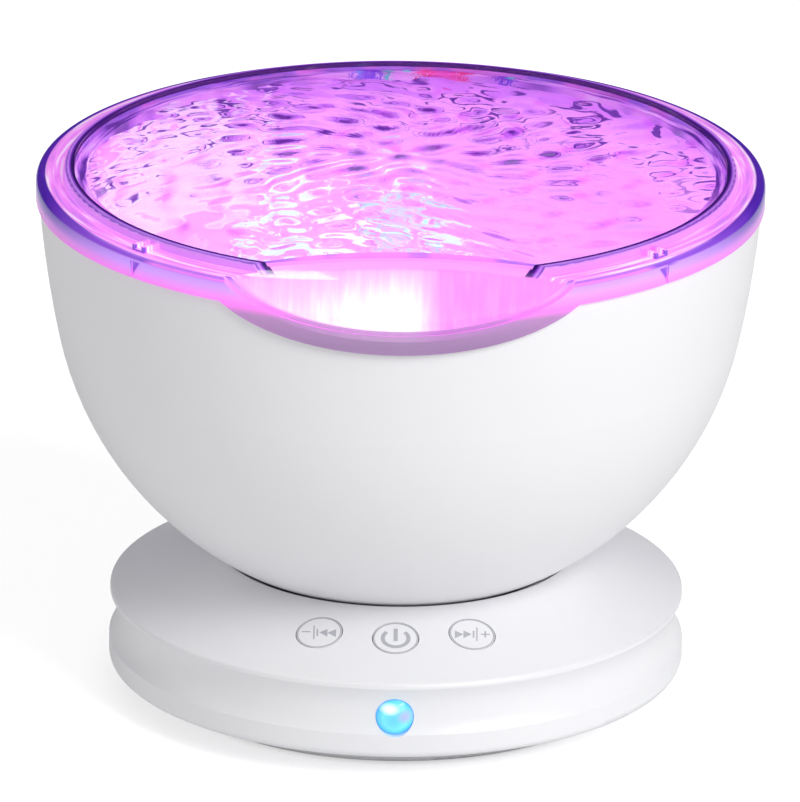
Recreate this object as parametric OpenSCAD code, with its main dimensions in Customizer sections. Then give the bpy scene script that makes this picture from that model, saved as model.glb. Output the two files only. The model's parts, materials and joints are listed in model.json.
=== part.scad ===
// Ocean wave projector: a bowl lamp under a rippled lens lid, tilting in a dish on a round base.
// Lengths are in millimetres and angles in degrees. +Z is up, the buttons face -Y, and the
// origin lies on the table under the middle of the base.

/* [Bowl] */
// Outer radius of the ball-shaped part of the bowl
ball_r = 71.8; // [70:0.2:74]
// Height of the ball's lowest point above the table
ball_floor = 20.6; // [19:0.1:22]
// Angle up from straight below to which the bowl stays a true ball
ball_angle = 78; // [77:0.5:80]
// Height of the shoulder above the tilt axis
shoulder_h = 14; // [13:0.1:17]
// How far the shoulder stands out past the ball's radius
flare = 2.5; // [1.8:0.1:3]
// Wall thickness of the bowl
bowl_wall = 2.4; // [2:0.1:3]
// Drop of the ledge that carries the tray, below the tilt axis
ledge_drop = 9.7; // [8:0.1:11]
// Width of the tray ledge
ledge_w = 4.2; // [3.6:0.1:5]

/* [Lid] */
// How far the skirt stands out past the shoulder
skirt_proud = 0.7; // [0.4:0.1:1.2]
// Height of the skirt
skirt_h = 5.2; // [4.8:0.1:6.5]
// Thickness of the skirt
skirt_wall = 1.8; // [1.5:0.1:2.2]
// Radius of the skirt's top edge
skirt_round = 1.6; // [0.6:0.1:1.6]
// Thickness of the ring and of the scoop
lid_wall = 2; // [1.6:0.1:2.4]
// Width of the ring outside the bead
ring_w = 5.9; // [5.4:0.1:7]
// Width of the bead round the lens
bead_w = 1.8; // [1.4:0.1:2.4]
// Height of the bead above the ring
bead_h = 1.8; // [1.4:0.1:2.2]
// Width of the seat under the lens
seat_w = 2.7; // [2:0.1:4]
// Depth of the lens seat below the ring
seat_drop = 1.2; // [0.8:0.1:1.6]
// Angle of the catches from the front and from the back
catch_angle = 46; // [42:1:60]
// Angle of the tabs between the catches, from the front
tab_angle = 73; // [66:1:100]
// Width of a catch tab
catch_w = 8; // [6:0.5:10]

/* [Scoop] */
// Depth of the scoop at the rim
scoop_depth = 8.2; // [7:0.1:9.5]
// Half width of the scoop at the rim
scoop_half_w = 35; // [32:0.5:38]
// Reach of the scoop in from the rim
scoop_reach = 17.5; // [16:0.5:19]
// Radius of the scoop's hollow
scoop_round = 14; // [13:0.5:16]
// Height of the scoop's inner edge above the ring
scoop_lip = 0.8; // [0.5:0.1:1.2]
// Width of the step along the scoop's outer lip
scoop_lip_w = 1.1; // [0.6:0.1:1.4]
// Depth of the step along the scoop's outer lip
scoop_lip_h = 0.9; // [0.5:0.1:1.2]
// Height of the skirt under the scoop
dip_skirt_h = 4.8; // [4.4:0.1:5.4]

/* [Wave lens] */
// Thickness of the lens
lens_t = 2.2; // [1.8:0.1:3]
// Rise of the lens from its edge to its middle
lens_rise = 3; // [2:0.1:4]
// Height of the lens ripples
lens_ripple = 0.6; // [0.3:0.05:0.9]
// Spacing of the lens ripples
lens_pitch = 10; // [8:0.5:14]

/* [Wave disc] */
// Radius of the turning disc
disc_r = 58; // [54:0.5:60]
// Thickness of the turning disc
disc_t = 2; // [1.5:0.1:2.5]
// Height of the disc's ripples
disc_ripple = 0.9; // [0.5:0.1:1.2]
// Spacing of the disc's ripples
disc_pitch = 17; // [14:0.5:22]
// Height of the disc above the tilt axis
disc_h = 7.3; // [6.5:0.1:8]
// Radius of the hub's flange and of its cap
hub_r = 9; // [8:0.5:11]
// Radius of the hub's neck
hub_neck_r = 5; // [4:0.1:6]

/* [Drive] */
// Tooth size of the gears
gear_module = 0.75; // [0.7:0.05:0.8]
// Teeth on the disc gear
gear_teeth = 48; // [44:1:50]
// Teeth on the motor pinion
pinion_teeth = 16; // [15:1:18]
// Thickness of the gears
gear_t = 4; // [3:0.5:5]
// Radius of the disc's spindle
spindle_r = 2; // [1.6:0.1:2.4]
// Radius of the motor's output shaft
shaft_r = 1.5; // [1.2:0.1:1.8]
// Radius of the motor can
motor_r = 12; // [10:0.5:12.5]
// Height of the motor can
motor_h = 14; // [11:0.5:15]
// Distance from the output shaft to the middle of the motor can
motor_offset = 7; // [6:0.5:8]
// Distance from the motor's middle to each of its ears' screws
motor_ear = 15; // [14.5:0.5:16]
// Radius of the motor bracket
bracket_r = 38; // [37:0.5:40]
// Thickness of the motor bracket
bracket_t = 2; // [1.5:0.1:2.5]
// Radius of the ring that the bracket posts stand on
bracket_post_ring = 33; // [30:0.5:34]

/* [Light] */
// Drop of the tray's platform below the ledge
tray_depth = 6.3; // [5:0.1:8]
// Radius of the tray's platform
platform_r = 44; // [42:0.5:48]
// Thickness of the tray
tray_t = 1.4; // [1.2:0.1:2]
// Gap below the platform for the gears
gear_room = 12.3; // [11.5:0.1:13]
// Outer radius of the lamp board
led_board_r = 40; // [37:0.5:41]
// Radius of the ring of lamps
lamp_ring = 30; // [24:0.5:34]
// Number of lamps, in three colours
lamp_count = 12; // [6:3:18]
// Width of a lamp's square body
lamp_w = 5; // [4:0.5:5.5]

/* [Base] */
// Radius of the base at its top edge
base_r = 59.5; // [58.5:0.5:64]
// Height of the seam under the base's top cover
seam_z = 20.8; // [20.5:0.1:22.5]
// Height of the cover's upright edge
edge_h = 1; // [0.8:0.1:1.6]
// Slope of the base's top
top_slope = 21; // [18:0.5:22]
// Depth of the waist in the base's side
waist_depth = 1.4; // [0.8:0.1:2]
// Height of the waist
waist_z = 16; // [15.5:0.1:17]
// How far the base's belly stands out past its top edge
belly_out = 0.2; // [0:0.1:1]
// Radius of the rounded lower edge of the base
belly_round = 1.8; // [1.5:0.1:2.5]
// Thickness of the side at the waist
side_wall = 2; // [1.6:0.1:2.4]
// Thickness of the top cover
cover_wall = 2; // [1.6:0.1:2.4]
// How far the foot under the base is set in from the top edge
foot_inset = 11; // [8:0.1:12]
// Height of the base's underside above the table
foot_h = 5.6; // [5.2:0.1:7.5]
// Thickness of the floor and of the foot's wall
floor_t = 1.8; // [1.4:0.1:2.2]
// Radius of a rubber foot
pad_r = 5; // [4:0.5:6]
// How far a rubber foot stands out below the floor
pad_h = 0.6; // [0.6:0.1:1.4]
// Distance of the feet and the screw posts inside the foot's wall
post_inset = 5.9; // [5.6:0.1:6.5]
// Radius of a screw post
post_r = 3.2; // [2.8:0.1:3.6]

/* [Tilt clamp] */
// How far the bowl tilts back
tilt_back = 45; // [30:1:45]
// Angle of the stem from straight down, towards the front
stem_angle = 20; // [17:0.5:21]
// Outer radius of the hollow stem
stem_r = 3.6; // [3:0.1:4]
// Bore radius of the stem
stem_bore = 2.4; // [1.8:0.1:2.6]
// Gap between the ball and its dish
dish_gap = 0.5; // [0.4:0.05:0.8]
// Thickness of the dish
dish_wall = 2; // [1.6:0.1:2.4]
// Half width of the curved shoe that covers the slot
shoe_half_w = 8; // [7.5:0.1:10]
// Thickness of the shoe
shoe_t = 1.7; // [1.4:0.1:2]
// Height of the rubber bush
bush_h = 6; // [5:0.1:7]
// Height of the nut
nut_h = 4; // [3.5:0.1:5]

/* [Buttons] */
// Radius of a button
button_r = 4.65; // [4.2:0.05:5]
// Gap round a button
button_gap = 0.2; // [0.15:0.05:0.3]
// Distance of the buttons' middles from the edge of the dish
button_inset = 9; // [7.2:0.1:9.5]
// Angle between the buttons
button_step = 19.8; // [19:0.1:23]
// Travel of a button
button_travel = 0.6; // [0.4:0.05:0.8]
// Width of a switch body
switch_w = 6; // [5.5:0.1:6.5]
// Height of a switch body
switch_h = 3.5; // [3:0.1:3.8]
// Radius of a switch plunger
plunger_r = 1.75; // [1.4:0.05:2]

/* [Front window] */
// Radius of the blue window
window_r = 3.75; // [3:0.05:4]
// Height of the window's middle above the table
window_z = 14.4; // [14:0.1:15.8]
// How far the window's dome stands out
window_dome = 1.7; // [1:0.1:2.2]

/* [Sockets] */
// Height of the main board above the table
board_z = 9; // [8.6:0.1:9.6]
// Gap between the main board's rear edge and the side wall
board_gap = 2.6; // [2.2:0.1:3.5]
// Distance of the main board's front edge behind the middle
board_front = 22; // [21:0.5:24]
// Radius of the audio socket's bore
aux_bore_r = 1.8; // [1.75:0.05:1.9]
// Length of the audio socket's bore
aux_bore_l = 13; // [11:0.5:14]
// Radius of the audio socket's nose
aux_nose_r = 2.9; // [2.6:0.1:3.2]
// Angle between the audio socket and the power socket
power_angle = 15; // [14:0.5:18]
// Angle between the audio socket and the card socket
card_angle = 17; // [16:0.5:20]
// Radius of the speaker
speaker_r = 18; // [16:0.5:18.5]

/* [Hidden] */
$fn = 96;

// Colours
shell_white = "#f4f4f5";
inner_white = "#e9e9ec";
clear_lilac = "#e59bf2";
board_green = "#2f6b4f";
steel = "#b9bcc2";
black = "#26262a";

// Clearances
seat_fit = 0.05;
slip_fit = 0.15;
running_fit = 0.05;
ball_clear = 0.3;
end_play = 0.3;

// Bowl: the flare's arc leaves the ball on the line of ball_angle and ends at the shoulder
ball_z = ball_floor + ball_r;
shoulder_r = ball_r + flare;
shoulder_z = ball_z + shoulder_h;
flare_reach = shoulder_r * sin(ball_angle) - shoulder_h * cos(ball_angle);
flare_square = shoulder_r * shoulder_r + shoulder_h * shoulder_h + ball_r * ball_r;
flare_r = (flare_square - 2 * ball_r * flare_reach) / (2 * (ball_r - flare_reach));
flare_x = (ball_r - flare_r) * sin(ball_angle);
flare_z = ball_z - (ball_r - flare_r) * cos(ball_angle);
ball_in = ball_r - bowl_wall;
ledge_z = ball_z - ledge_drop;
ledge_t = 2;

// Lid
lid_r = shoulder_r + skirt_proud;
skirt_in = lid_r - skirt_wall;
ring_z = shoulder_z + skirt_h;
bead_out = lid_r - ring_w;
bead_in = bead_out - bead_w;
seat_in = bead_in - seat_w;
seat_z = ring_z - seat_drop;
seat_t = 1.5;
tongue_r = skirt_in - slip_fit;
tongue_t = 1.4;
tongue_h = skirt_h - lid_wall - slip_fit;
catch_t = 2.4;
catch_angles = [catch_angle, 180 - catch_angle, 180 + catch_angle, -catch_angle];
slit_w = 0.5;
slit_depth = 0.7;
rib_w = 3.4;
rib_wall = 0.7;
rib_h = 1.2;

// Scoop: a barrel lying along X, whose round section passes the rim's dip and the inner edge
scoop_rise = scoop_depth + scoop_lip;
scoop_chord = norm([scoop_reach, scoop_rise]);
scoop_stand = sqrt(scoop_round * scoop_round - scoop_chord * scoop_chord / 4);
scoop_y = -lid_r + scoop_reach / 2 - scoop_stand * scoop_rise / scoop_chord;
scoop_z = ring_z - scoop_depth + scoop_rise / 2 + scoop_stand * scoop_reach / scoop_chord;
scoop_tip_y = -sqrt(lid_r * lid_r - scoop_half_w * scoop_half_w);
scoop_sag = scoop_round - norm([scoop_tip_y - scoop_y, ring_z - scoop_z]);
scoop_arc = (scoop_half_w * scoop_half_w + scoop_sag * scoop_sag) / (2 * scoop_sag);
scoop_cap = ring_z + scoop_lip;

// Wave lens
lens_gap = 0.2;
lens_r = bead_in - lens_gap;
lens_rings = 20;
lens_sides = 96;
lens_fade = 4;
// Ripple trains: direction, wavelength as a share of the pitch, phase
waves = [[8, 1, 0], [67, 0.86, 70], [128, 0.77, 40], [161, 1.22, 110]];
wave_bend = 55;
wave_bend_pitch = 3;

// Light
platform_z = ledge_z - tray_depth;
tray_r = sqrt(ball_in * ball_in - ledge_drop * ledge_drop) - 2 * ball_clear;
tray_lip = 6;
tray_screw_angles = [90, 210, 330];
tray_screw_ring = tray_r - ledge_w / 2 + 2 * ball_clear;
led_board_t = 1.6;
led_board_in = 8;
lamp_z = platform_z + led_board_t;
lamp_h = 1.6;
lamp_dome_r = 2;

// Drive
gear_z = platform_z - tray_t - gear_room;
gear_spread = gear_module * (gear_teeth + pinion_teeth) / 2 + running_fit;
tooth_play = 0.07;
tooth_angle = 20;
tooth_steps = 4;
bracket_post_r = 3;
bracket_post_angles = [30, 150, 270];
bush_r = spindle_r + 1;
bush_flange_r = spindle_r + 3.5;
bush_flange_t = 1.2;
pivot_l = 4;
pivot_r = spindle_r + 2.5;
motor_boss_r = 4;
shaft_sink = 5.5;
shaft_end = 0.6;
pinion_t = gear_t + 1.4;
gear_step = 1;
gear_boss_h = 2;
motor_plate_t = 2;
disc_z = ball_z + disc_h;
hub_flange_t = 1.8;
hub_sleeve_r = 4.5;
hub_sleeve_l = 8;
disc_rings = 11;
disc_sides = 64;
cap_t = 1.2;
cap_peg_l = 1.6;

// Base
edge_z = seam_z + edge_h;
edge_round = 0.7;
belly_r = base_r + belly_out;
waist_half = seam_z - waist_z;
waist_round = (waist_half * waist_half + waist_depth * waist_depth) / (2 * waist_depth);
side_in = base_r - waist_depth - side_wall;
spigot_r = side_in - slip_fit;
spigot_w = 1.6;
spigot_h = 3;
dish_r = ball_r + dish_gap;
slope = tan(top_slope);
dish_drop = ball_z - edge_z - base_r * slope;
dish_rim = (sqrt(dish_r * dish_r * (1 + slope * slope) - dish_drop * dish_drop) - dish_drop * slope)
    / (1 + slope * slope);
foot_r = base_r - foot_inset;
foot_in = foot_r - floor_t;
post_ring = foot_in - post_inset;
rim_w = 0.7;
rebate_r = belly_r - belly_round - rim_w;
flange_r = rebate_r - slip_fit;
flange_t = 1.8;
flange_top = foot_h + flange_t;
lip_h = 1.6;
floor_top = pad_h + floor_t;
pad_sink = 0.8;
screw_boss_r = post_r + 1.6;
screw_seat_z = floor_top + 0.4;
post_z = floor_top + floor_t;
post_angles = [45, 135, 225, 315];
pad_angles = [0, 90, 180, 270];
base_screw_r = 1.5;
base_screw_l = 9;
grille_rings = [[1, 0], [6, 4.4], [12, 8.8]];
grille_hole_r = 1.3;
rib_gap = 0.2;
speaker_rib_w = 1.2;
speaker_rib_h = 3;

// Friction ring in the dish, between two angles from straight down
ring_low = 25;
ring_high = 29;
ring_sink = 1.2;

// Tilt clamp, along the stem from the tilt axis
slot_half = stem_r + 0.4;
slot_end = 0.6;
slot_end_r = slot_half + slip_fit;
stem_collar_r = 6;
stem_collar_t = 2.5;
stem_boss_r = 7;
stem_boss_h = 3.2;
stem_foot = dish_r + dish_wall + stem_boss_h;
shoe_r = ball_in - ball_clear;
shoe_low = 12;
shoe_high = stem_angle + tilt_back + 5;
shoe_pad_r = shoe_half_w - 0.5;
pad_top = shoe_r - 4.6;
bush_wall_r = 7;
bush_top = pad_top - bush_h;
nut_r = 6.5;
nut_top = bush_top - nut_h;
stem_top = nut_top - 1;

// Buttons, below the cover's surface at the middle button and square to it
button_arc = dish_rim + button_inset;
cap_low = -4;
button_flange = 1;
spot_top = cap_low + button_flange + 0.4;
key_board_z = cap_low - 1.4 - switch_h;
key_board_t = 1.6;
key_board_w = 48;
key_board_back = 8;
key_board_front = switch_w / 2 + 0.5;
key_post_x = 9;
key_post_y = 3;
key_post_r = 2.2;
key_screw_r = 0.9;
plunger_l = 2.8;

// Front window and what stands behind it
window_flange_r = window_r + 1.1;
window_flange_t = 1.1;
window_back = side_in - end_play;
indicator_gap = 7.2;
indicator_back = side_in - indicator_gap;
indicator_t = 1.2;
indicator_w = 16;
indicator_h = 13;
receiver_w = 5.5;
receiver_d = 3.2;
receiver_h = 5;
led_r = 1.5;
led_l = 4;

// Sockets on the main board
board_t = 1.6;
board_r = side_in - board_gap;
board_top = board_z + board_t;
board_post_r = 2.5;
board_post_x = 12;
board_screw_y = 27;
board_rest_y = 44;
aux_w = 8;
aux_h = 6;
aux_l = 13;
aux_z = board_top + aux_h / 2;
aux_face = base_r - waist_depth - 0.3;
power_w = 8;
power_h = 3.2;
power_l = 8;
power_face = side_in + 0.6;
socket_wall = 0.5;
card_w = 14;
card_h = 2.2;
card_l = 14;
card_slot_w = 11.4;
card_slot_h = 1.1;
card_slot_l = 11;
port_gap = 0.5;

// Screws
head_r = 2;
slim_head_r = 1.8;
head_h = 1.4;
small_screw_l = 5;
tray_screw_bite = 2.6;

// Speaker
speaker_rim_t = 1.2;
speaker_rise = 5.4;
speaker_step = 4;
magnet_h = 4.4;
magnet_round = 0.8;
cone_rise = 3.6;
cone_sheet = 0.6;

// Length of a cutter that goes right through
through = 40;

// Shared shapes

// Cutter that rounds a convex corner of a section: u and v point along its edges, away from it
module round_off(corner, u, v, r) {
    spread = acos(u * v) / 2;
    run = r / tan(spread);
    inward = (u + v) / norm(u + v);
    from = corner + run * u;
    to = corner + run * v;
    difference() {
        polygon([from, from - 2 * r * inward, to - 2 * r * inward, to]);
        translate(corner + inward * r / sin(spread))
            circle(r = r);
    }
}

// Puts a shape built at the front, facing -Y, at an angle round the axis
module at_angle(a) {
    rotate([0, 0, a])
        children();
}

// Puts a shape on the stem's line, measured down from the tilt axis
module along_stem() {
    translate([0, 0, ball_z])
        rotate([-stem_angle, 0, 0])
            children();
}

// Screw with a pan head: origin under the head, shank pointing down
module screw(shank_r, shank_l, cap_r = head_r, cap_h = head_h) {
    translate([0, 0, -shank_l])
        cylinder(r = shank_r, h = shank_l);
    rotate_extrude()
        difference() {
            square([cap_r, cap_h]);
            round_off([cap_r, cap_h], [-1, 0], [0, -1], cap_h / 2);
        }
}

// Base

function cone_z(r) = edge_z + (base_r - r) * slope;
function cone_under(r) = cone_z(r) - cover_wall / cos(top_slope);

// Half plane under the base's sloping top, sunk by a depth
module under_top(sink) {
    rotate_extrude()
        polygon([[0, 0], [base_r, 0], [base_r, edge_z - sink], [0, cone_z(0) - sink]]);
}

// Frame of the buttons: origin on the slope at the middle button, Z square to the slope
module on_keys() {
    translate([0, -button_arc, cone_z(button_arc)])
        rotate([top_slope, 0, 0])
            children();
}

// Place of button k, from -1 to 1, in the frame of the buttons
module at_button(k) {
    on_keys()
        translate([button_arc * sin(k * button_step),
            button_arc * (1 - cos(k * button_step)) * cos(top_slope), 0])
            children();
}

module key_posts(r, low, high) {
    on_keys()
        for (x = [-key_post_x, key_post_x])
            translate([x, key_post_y, low])
                cylinder(r = r, h = high - low);
}

module friction_section(spare) {
    reach = 2 * dish_r;
    intersection() {
        translate([0, ball_z])
            circle(r = dish_r + ring_sink - spare);
        polygon([[0, ball_z],
            [reach * sin(ring_low + spare), ball_z - reach * cos(ring_low + spare)],
            [reach * sin(ring_high - spare), ball_z - reach * cos(ring_high - spare)]]);
    }
}

module cover_section() {
    spigot_in = spigot_r - spigot_w;
    slope_dir = [-cos(top_slope), sin(top_slope)];
    difference() {
        union() {
            difference() {
                polygon([[0, seam_z - spigot_h], [spigot_r, seam_z - spigot_h], [spigot_r, seam_z],
                    [base_r, seam_z], [base_r, edge_z], [0, cone_z(0)]]);
                polygon([[0, 0], [spigot_in, 0], [spigot_in, cone_under(spigot_in)],
                    [0, cone_under(0)]]);
            }
            intersection() {
                translate([0, ball_z])
                    circle(r = dish_r + dish_wall);
                polygon([[0, 0], [base_r, 0], [base_r, edge_z - cover_wall / 2],
                    [0, cone_z(0) - cover_wall / 2]]);
            }
        }
        translate([0, ball_z])
            circle(r = dish_r);
        friction_section(0);
        round_off([base_r, edge_z], [0, -1], slope_dir, edge_round);
    }
}

module base_top_cover() {
    color(shell_white)
        difference() {
            union() {
                rotate_extrude()
                    cover_section();
                difference() {
                    intersection() {
                        under_top(cover_wall / 2);
                        union() {
                            for (a = post_angles)
                                at_angle(a)
                                    translate([0, -post_ring, post_z])
                                        cylinder(r = post_r, h = cone_z(0));
                            key_posts(key_post_r, key_board_z, 0);
                        }
                    }
                    translate([0, 0, ball_z])
                        sphere(r = dish_r + dish_wall / 2);
                }
                along_stem()
                    translate([0, 0, -stem_foot])
                        cylinder(r = stem_boss_r, h = stem_boss_h + dish_wall / 2);
            }
            for (k = [-1:1])
                at_button(k) {
                    translate([0, 0, spot_top])
                        cylinder(r = button_r + button_gap, h = 10);
                    translate([0, 0, cap_low - 4])
                        cylinder(r = button_r + button_flange + 2 * button_gap,
                            h = 4 + spot_top - cap_low);
                }
            for (a = post_angles)
                at_angle(a)
                    translate([0, -post_ring, post_z - 1])
                        cylinder(r = base_screw_r + seat_fit, h = base_screw_l + 2);
            key_posts(key_screw_r + seat_fit, key_board_z - 1,
                key_board_z + small_screw_l - key_board_t + end_play);
            along_stem()
                translate([0, 0, -stem_foot - 1])
                    cylinder(r = stem_r + seat_fit, h = stem_boss_h + dish_wall + 4);
            translate([0, 1 - spigot_r + spigot_w, window_z])
                rotate([90, 0, 0])
                    cylinder(r = window_flange_r + slip_fit, h = spigot_w + 2);
        }
}

module side_section() {
    difference() {
        translate([side_in, foot_h])
            square([belly_r - side_in, seam_z - foot_h]);
        translate([0, foot_h - 1])
            square([rebate_r, flange_t + 1]);
        translate([base_r - waist_depth + waist_round, waist_z])
            circle(r = waist_round);
        round_off([belly_r, foot_h], [-1, 0], [0, 1], belly_round);
    }
}

module base_side_shell() {
    wall = 2 * (belly_r - side_in);
    color(shell_white)
        difference() {
            rotate_extrude()
                side_section();
            translate([0, -side_in + 2, window_z])
                rotate([90, 0, 0])
                    cylinder(r = window_r + slip_fit, h = wall);
            translate([0, side_in - 2, aux_z])
                rotate([-90, 0, 0])
                    cylinder(r = aux_nose_r + slip_fit, h = wall);
            rotate([0, 0, power_angle])
                translate([-power_w / 2 - port_gap, side_in - 2, board_top - port_gap])
                    cube([power_w + 2 * port_gap, wall, power_h + 2 * port_gap]);
            rotate([0, 0, -card_angle])
                translate([-card_w / 2 - port_gap, side_in - 2, board_top - port_gap])
                    cube([card_w + 2 * port_gap, wall, card_h + 2 * port_gap]);
        }
}

module bottom_section() {
    difference() {
        union() {
            translate([0, pad_h])
                square([foot_r, floor_t]);
            translate([foot_in, pad_h])
                square([floor_t, flange_top - pad_h]);
            translate([foot_in, foot_h])
                square([flange_r - foot_in, flange_t]);
            translate([spigot_r - spigot_w, foot_h])
                square([spigot_w, flange_t + lip_h]);
        }
        round_off([foot_r, pad_h], [-1, 0], [0, 1], floor_t / 2);
    }
}

module base_bottom_cover() {
    color(inner_white)
        difference() {
            union() {
                rotate_extrude()
                    bottom_section();
                for (a = post_angles)
                    at_angle(a)
                        translate([0, -post_ring, pad_h])
                            cylinder(r = screw_boss_r, h = post_z - pad_h);
                for (x = [-board_post_x, board_post_x])
                    for (y = [board_screw_y, board_rest_y])
                        translate([x, y, pad_h])
                            cylinder(r = board_post_r, h = board_z - pad_h);
                difference() {
                    translate([0, 0, floor_top])
                        cylinder(r = speaker_r + rib_gap + speaker_rib_w, h = speaker_rib_h);
                    cylinder(r = speaker_r + rib_gap, h = through);
                }
            }
            for (a = post_angles)
                at_angle(a)
                    translate([0, -post_ring, 0]) {
                        cylinder(r = 2 * base_screw_r + slip_fit, h = screw_seat_z);
                        cylinder(r = base_screw_r + slip_fit, h = through);
                    }
            for (a = pad_angles)
                at_angle(a)
                    translate([0, -post_ring, 0])
                        cylinder(r = pad_r + seat_fit, h = pad_h + pad_sink);
            for (x = [-board_post_x, board_post_x])
                translate([x, board_screw_y, board_top - small_screw_l - end_play])
                    cylinder(r = key_screw_r + seat_fit, h = through);
            for (ring = grille_rings)
                for (i = [0:ring[0] - 1])
                    rotate([0, 0, 360 * i / ring[0]])
                        translate([ring[1], 0, 0])
                            cylinder(r = grille_hole_r, h = floor_top + 1);
        }
}

module rubber_feet() {
    color(black)
        for (a = pad_angles)
            at_angle(a)
                translate([0, -post_ring, 0])
                    rotate_extrude()
                        difference() {
                            square([pad_r, pad_h + pad_sink]);
                            round_off([pad_r, 0], [-1, 0], [0, 1], pad_h / 2);
                        }
}

module base_screws() {
    color(steel)
        for (a = post_angles)
            at_angle(a)
                translate([0, -post_ring, screw_seat_z])
                    rotate([180, 0, 0])
                        screw(base_screw_r, base_screw_l, 2 * base_screw_r, head_h);
}

module speaker_frame() {
    neck_r = speaker_r / 2;
    neck_z = floor_top + speaker_rise;
    magnet_r = speaker_r * 0.6;
    seat_r = speaker_r - speaker_step;
    color(black)
        rotate_extrude() {
            polygon([[seat_r, floor_top], [speaker_r, floor_top], [speaker_r, floor_top + speaker_rim_t],
                [speaker_r - speaker_step / 2, floor_top + speaker_rim_t],
                [neck_r + speaker_rim_t, neck_z + speaker_rim_t], [0, neck_z + speaker_rim_t],
                [0, neck_z], [neck_r, neck_z], [seat_r, floor_top + speaker_rim_t]]);
            translate([0, neck_z + speaker_rim_t])
                difference() {
                    square([magnet_r, magnet_h]);
                    round_off([magnet_r, magnet_h], [-1, 0], [0, -1], magnet_round);
                }
        }
}

module speaker_cone() {
    low = floor_top + end_play;
    mouth = speaker_r - speaker_step - slip_fit;
    throat = speaker_r / 3;
    color("#4a4a50")
        rotate_extrude()
            polygon([[mouth, low], [mouth, low + cone_sheet], [throat, low + cone_rise + cone_sheet],
                [0, low + cone_rise + cone_sheet], [0, low + cone_rise], [throat - cone_sheet, low + cone_rise],
                [mouth - 2 * cone_sheet, low]]);
}

module main_board() {
    color(board_green)
        difference() {
            translate([0, 0, board_z])
                linear_extrude(height = board_t)
                    intersection() {
                        circle(r = board_r);
                        translate([-board_r, board_front])
                            square([2 * board_r, board_r]);
                    }
            for (a = post_angles)
                at_angle(a)
                    translate([0, -post_ring, 0])
                        cylinder(r = post_r + 2 * slip_fit, h = through);
            for (x = [-board_post_x, board_post_x])
                translate([x, board_screw_y, 0])
                    cylinder(r = key_screw_r + slip_fit, h = through);
        }
}

module board_screws() {
    color(steel)
        for (x = [-board_post_x, board_post_x])
            translate([x, board_screw_y, board_top])
                screw(key_screw_r, small_screw_l);
}

module power_socket() {
    tongue_w = power_w / 2;
    color(steel)
        rotate([0, 0, power_angle])
            translate([-power_w / 2, power_face - power_l, board_top])
                union() {
                    difference() {
                        cube([power_w, power_l, power_h]);
                        translate([socket_wall, socket_wall, socket_wall])
                            cube([power_w - 2 * socket_wall, power_l, power_h - 2 * socket_wall]);
                    }
                    translate([tongue_w / 2, 0, power_h / 2])
                        cube([tongue_w, power_l - 1.5, 0.6]);
                }
}

module aux_socket() {
    color(black)
        difference() {
            union() {
                translate([-aux_w / 2, board_r - aux_l, board_top])
                    cube([aux_w, aux_l, aux_h]);
                translate([0, board_r - 1, aux_z])
                    rotate([-90, 0, 0])
                        cylinder(r = aux_nose_r, h = aux_face - board_r + 1);
            }
            translate([0, aux_face - aux_bore_l, aux_z])
                rotate([-90, 0, 0])
                    cylinder(r = aux_bore_r, h = aux_bore_l + 1);
        }
}

module card_socket() {
    face = side_in + 0.6;
    color(steel)
        rotate([0, 0, -card_angle])
            difference() {
                translate([-card_w / 2, face - card_l, board_top])
                    cube([card_w, card_l, card_h]);
                translate([-card_slot_w / 2, face - card_slot_l, board_top + socket_wall])
                    cube([card_slot_w, card_slot_l + 1, card_slot_h]);
            }
}

module key_board() {
    color(board_green)
        difference() {
            on_keys()
                translate([-key_board_w / 2, -key_board_front, key_board_z - key_board_t])
                    cube([key_board_w, key_board_front + key_board_back, key_board_t]);
            key_posts(key_screw_r + slip_fit, key_board_z - key_board_t - 1, key_board_z + 1);
        }
}

module key_board_screws() {
    color(steel)
        on_keys()
            for (x = [-key_post_x, key_post_x])
                translate([x, key_post_y, key_board_z - key_board_t])
                    rotate([180, 0, 0])
                        screw(key_screw_r, small_screw_l);
}

module key_switches() {
    color(black)
        for (k = [-1:1])
            at_button(k)
                translate([0, 0, key_board_z])
                    difference() {
                        translate([-switch_w / 2, -switch_w / 2, 0])
                            cube([switch_w, switch_w, switch_h]);
                        translate([0, 0, switch_h - plunger_l])
                            cylinder(r = plunger_r + 2 * running_fit, h = plunger_l + 1);
                    }
}

module ir_window() {
    dome_r = (window_r * window_r + window_dome * window_dome) / (2 * window_dome);
    face = base_r - waist_depth + 0.2;
    color("#6fd0ff")
        translate([0, 0, window_z])
            rotate([90, 0, 0])
                rotate_extrude() {
                    translate([0, window_back - window_flange_t])
                        square([window_flange_r, window_flange_t]);
                    translate([0, window_back - window_flange_t])
                        square([window_r, face - window_back + window_flange_t]);
                    intersection() {
                        translate([0, face + window_dome - dome_r])
                            circle(r = dome_r);
                        translate([0, face])
                            square([window_r, window_dome]);
                    }
                }
}

module indicator_board() {
    color(board_green)
        translate([-indicator_w / 2, -indicator_back - indicator_t, flange_top])
            cube([indicator_w, indicator_t, indicator_h]);
}

module ir_receiver() {
    front = -indicator_back - indicator_t;
    color(black)
        translate([0, front, window_z - receiver_h / 2 - led_r]) {
            translate([-receiver_w / 2, -receiver_d, -receiver_h / 2])
                cube([receiver_w, receiver_d, receiver_h]);
            translate([0, -receiver_d + 0.6, 0])
                sphere(r = receiver_h / 3);
        }
}

module indicator_led() {
    color("#8fdcff")
        translate([0, -indicator_back - indicator_t, window_z + led_r])
            rotate([90, 0, 0])
                rotate_extrude() {
                    square([led_r, led_l - led_r]);
                    intersection() {
                        translate([0, led_l - led_r])
                            circle(r = led_r);
                        square([led_r, led_l]);
                    }
                }
}

// Tilt clamp

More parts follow.
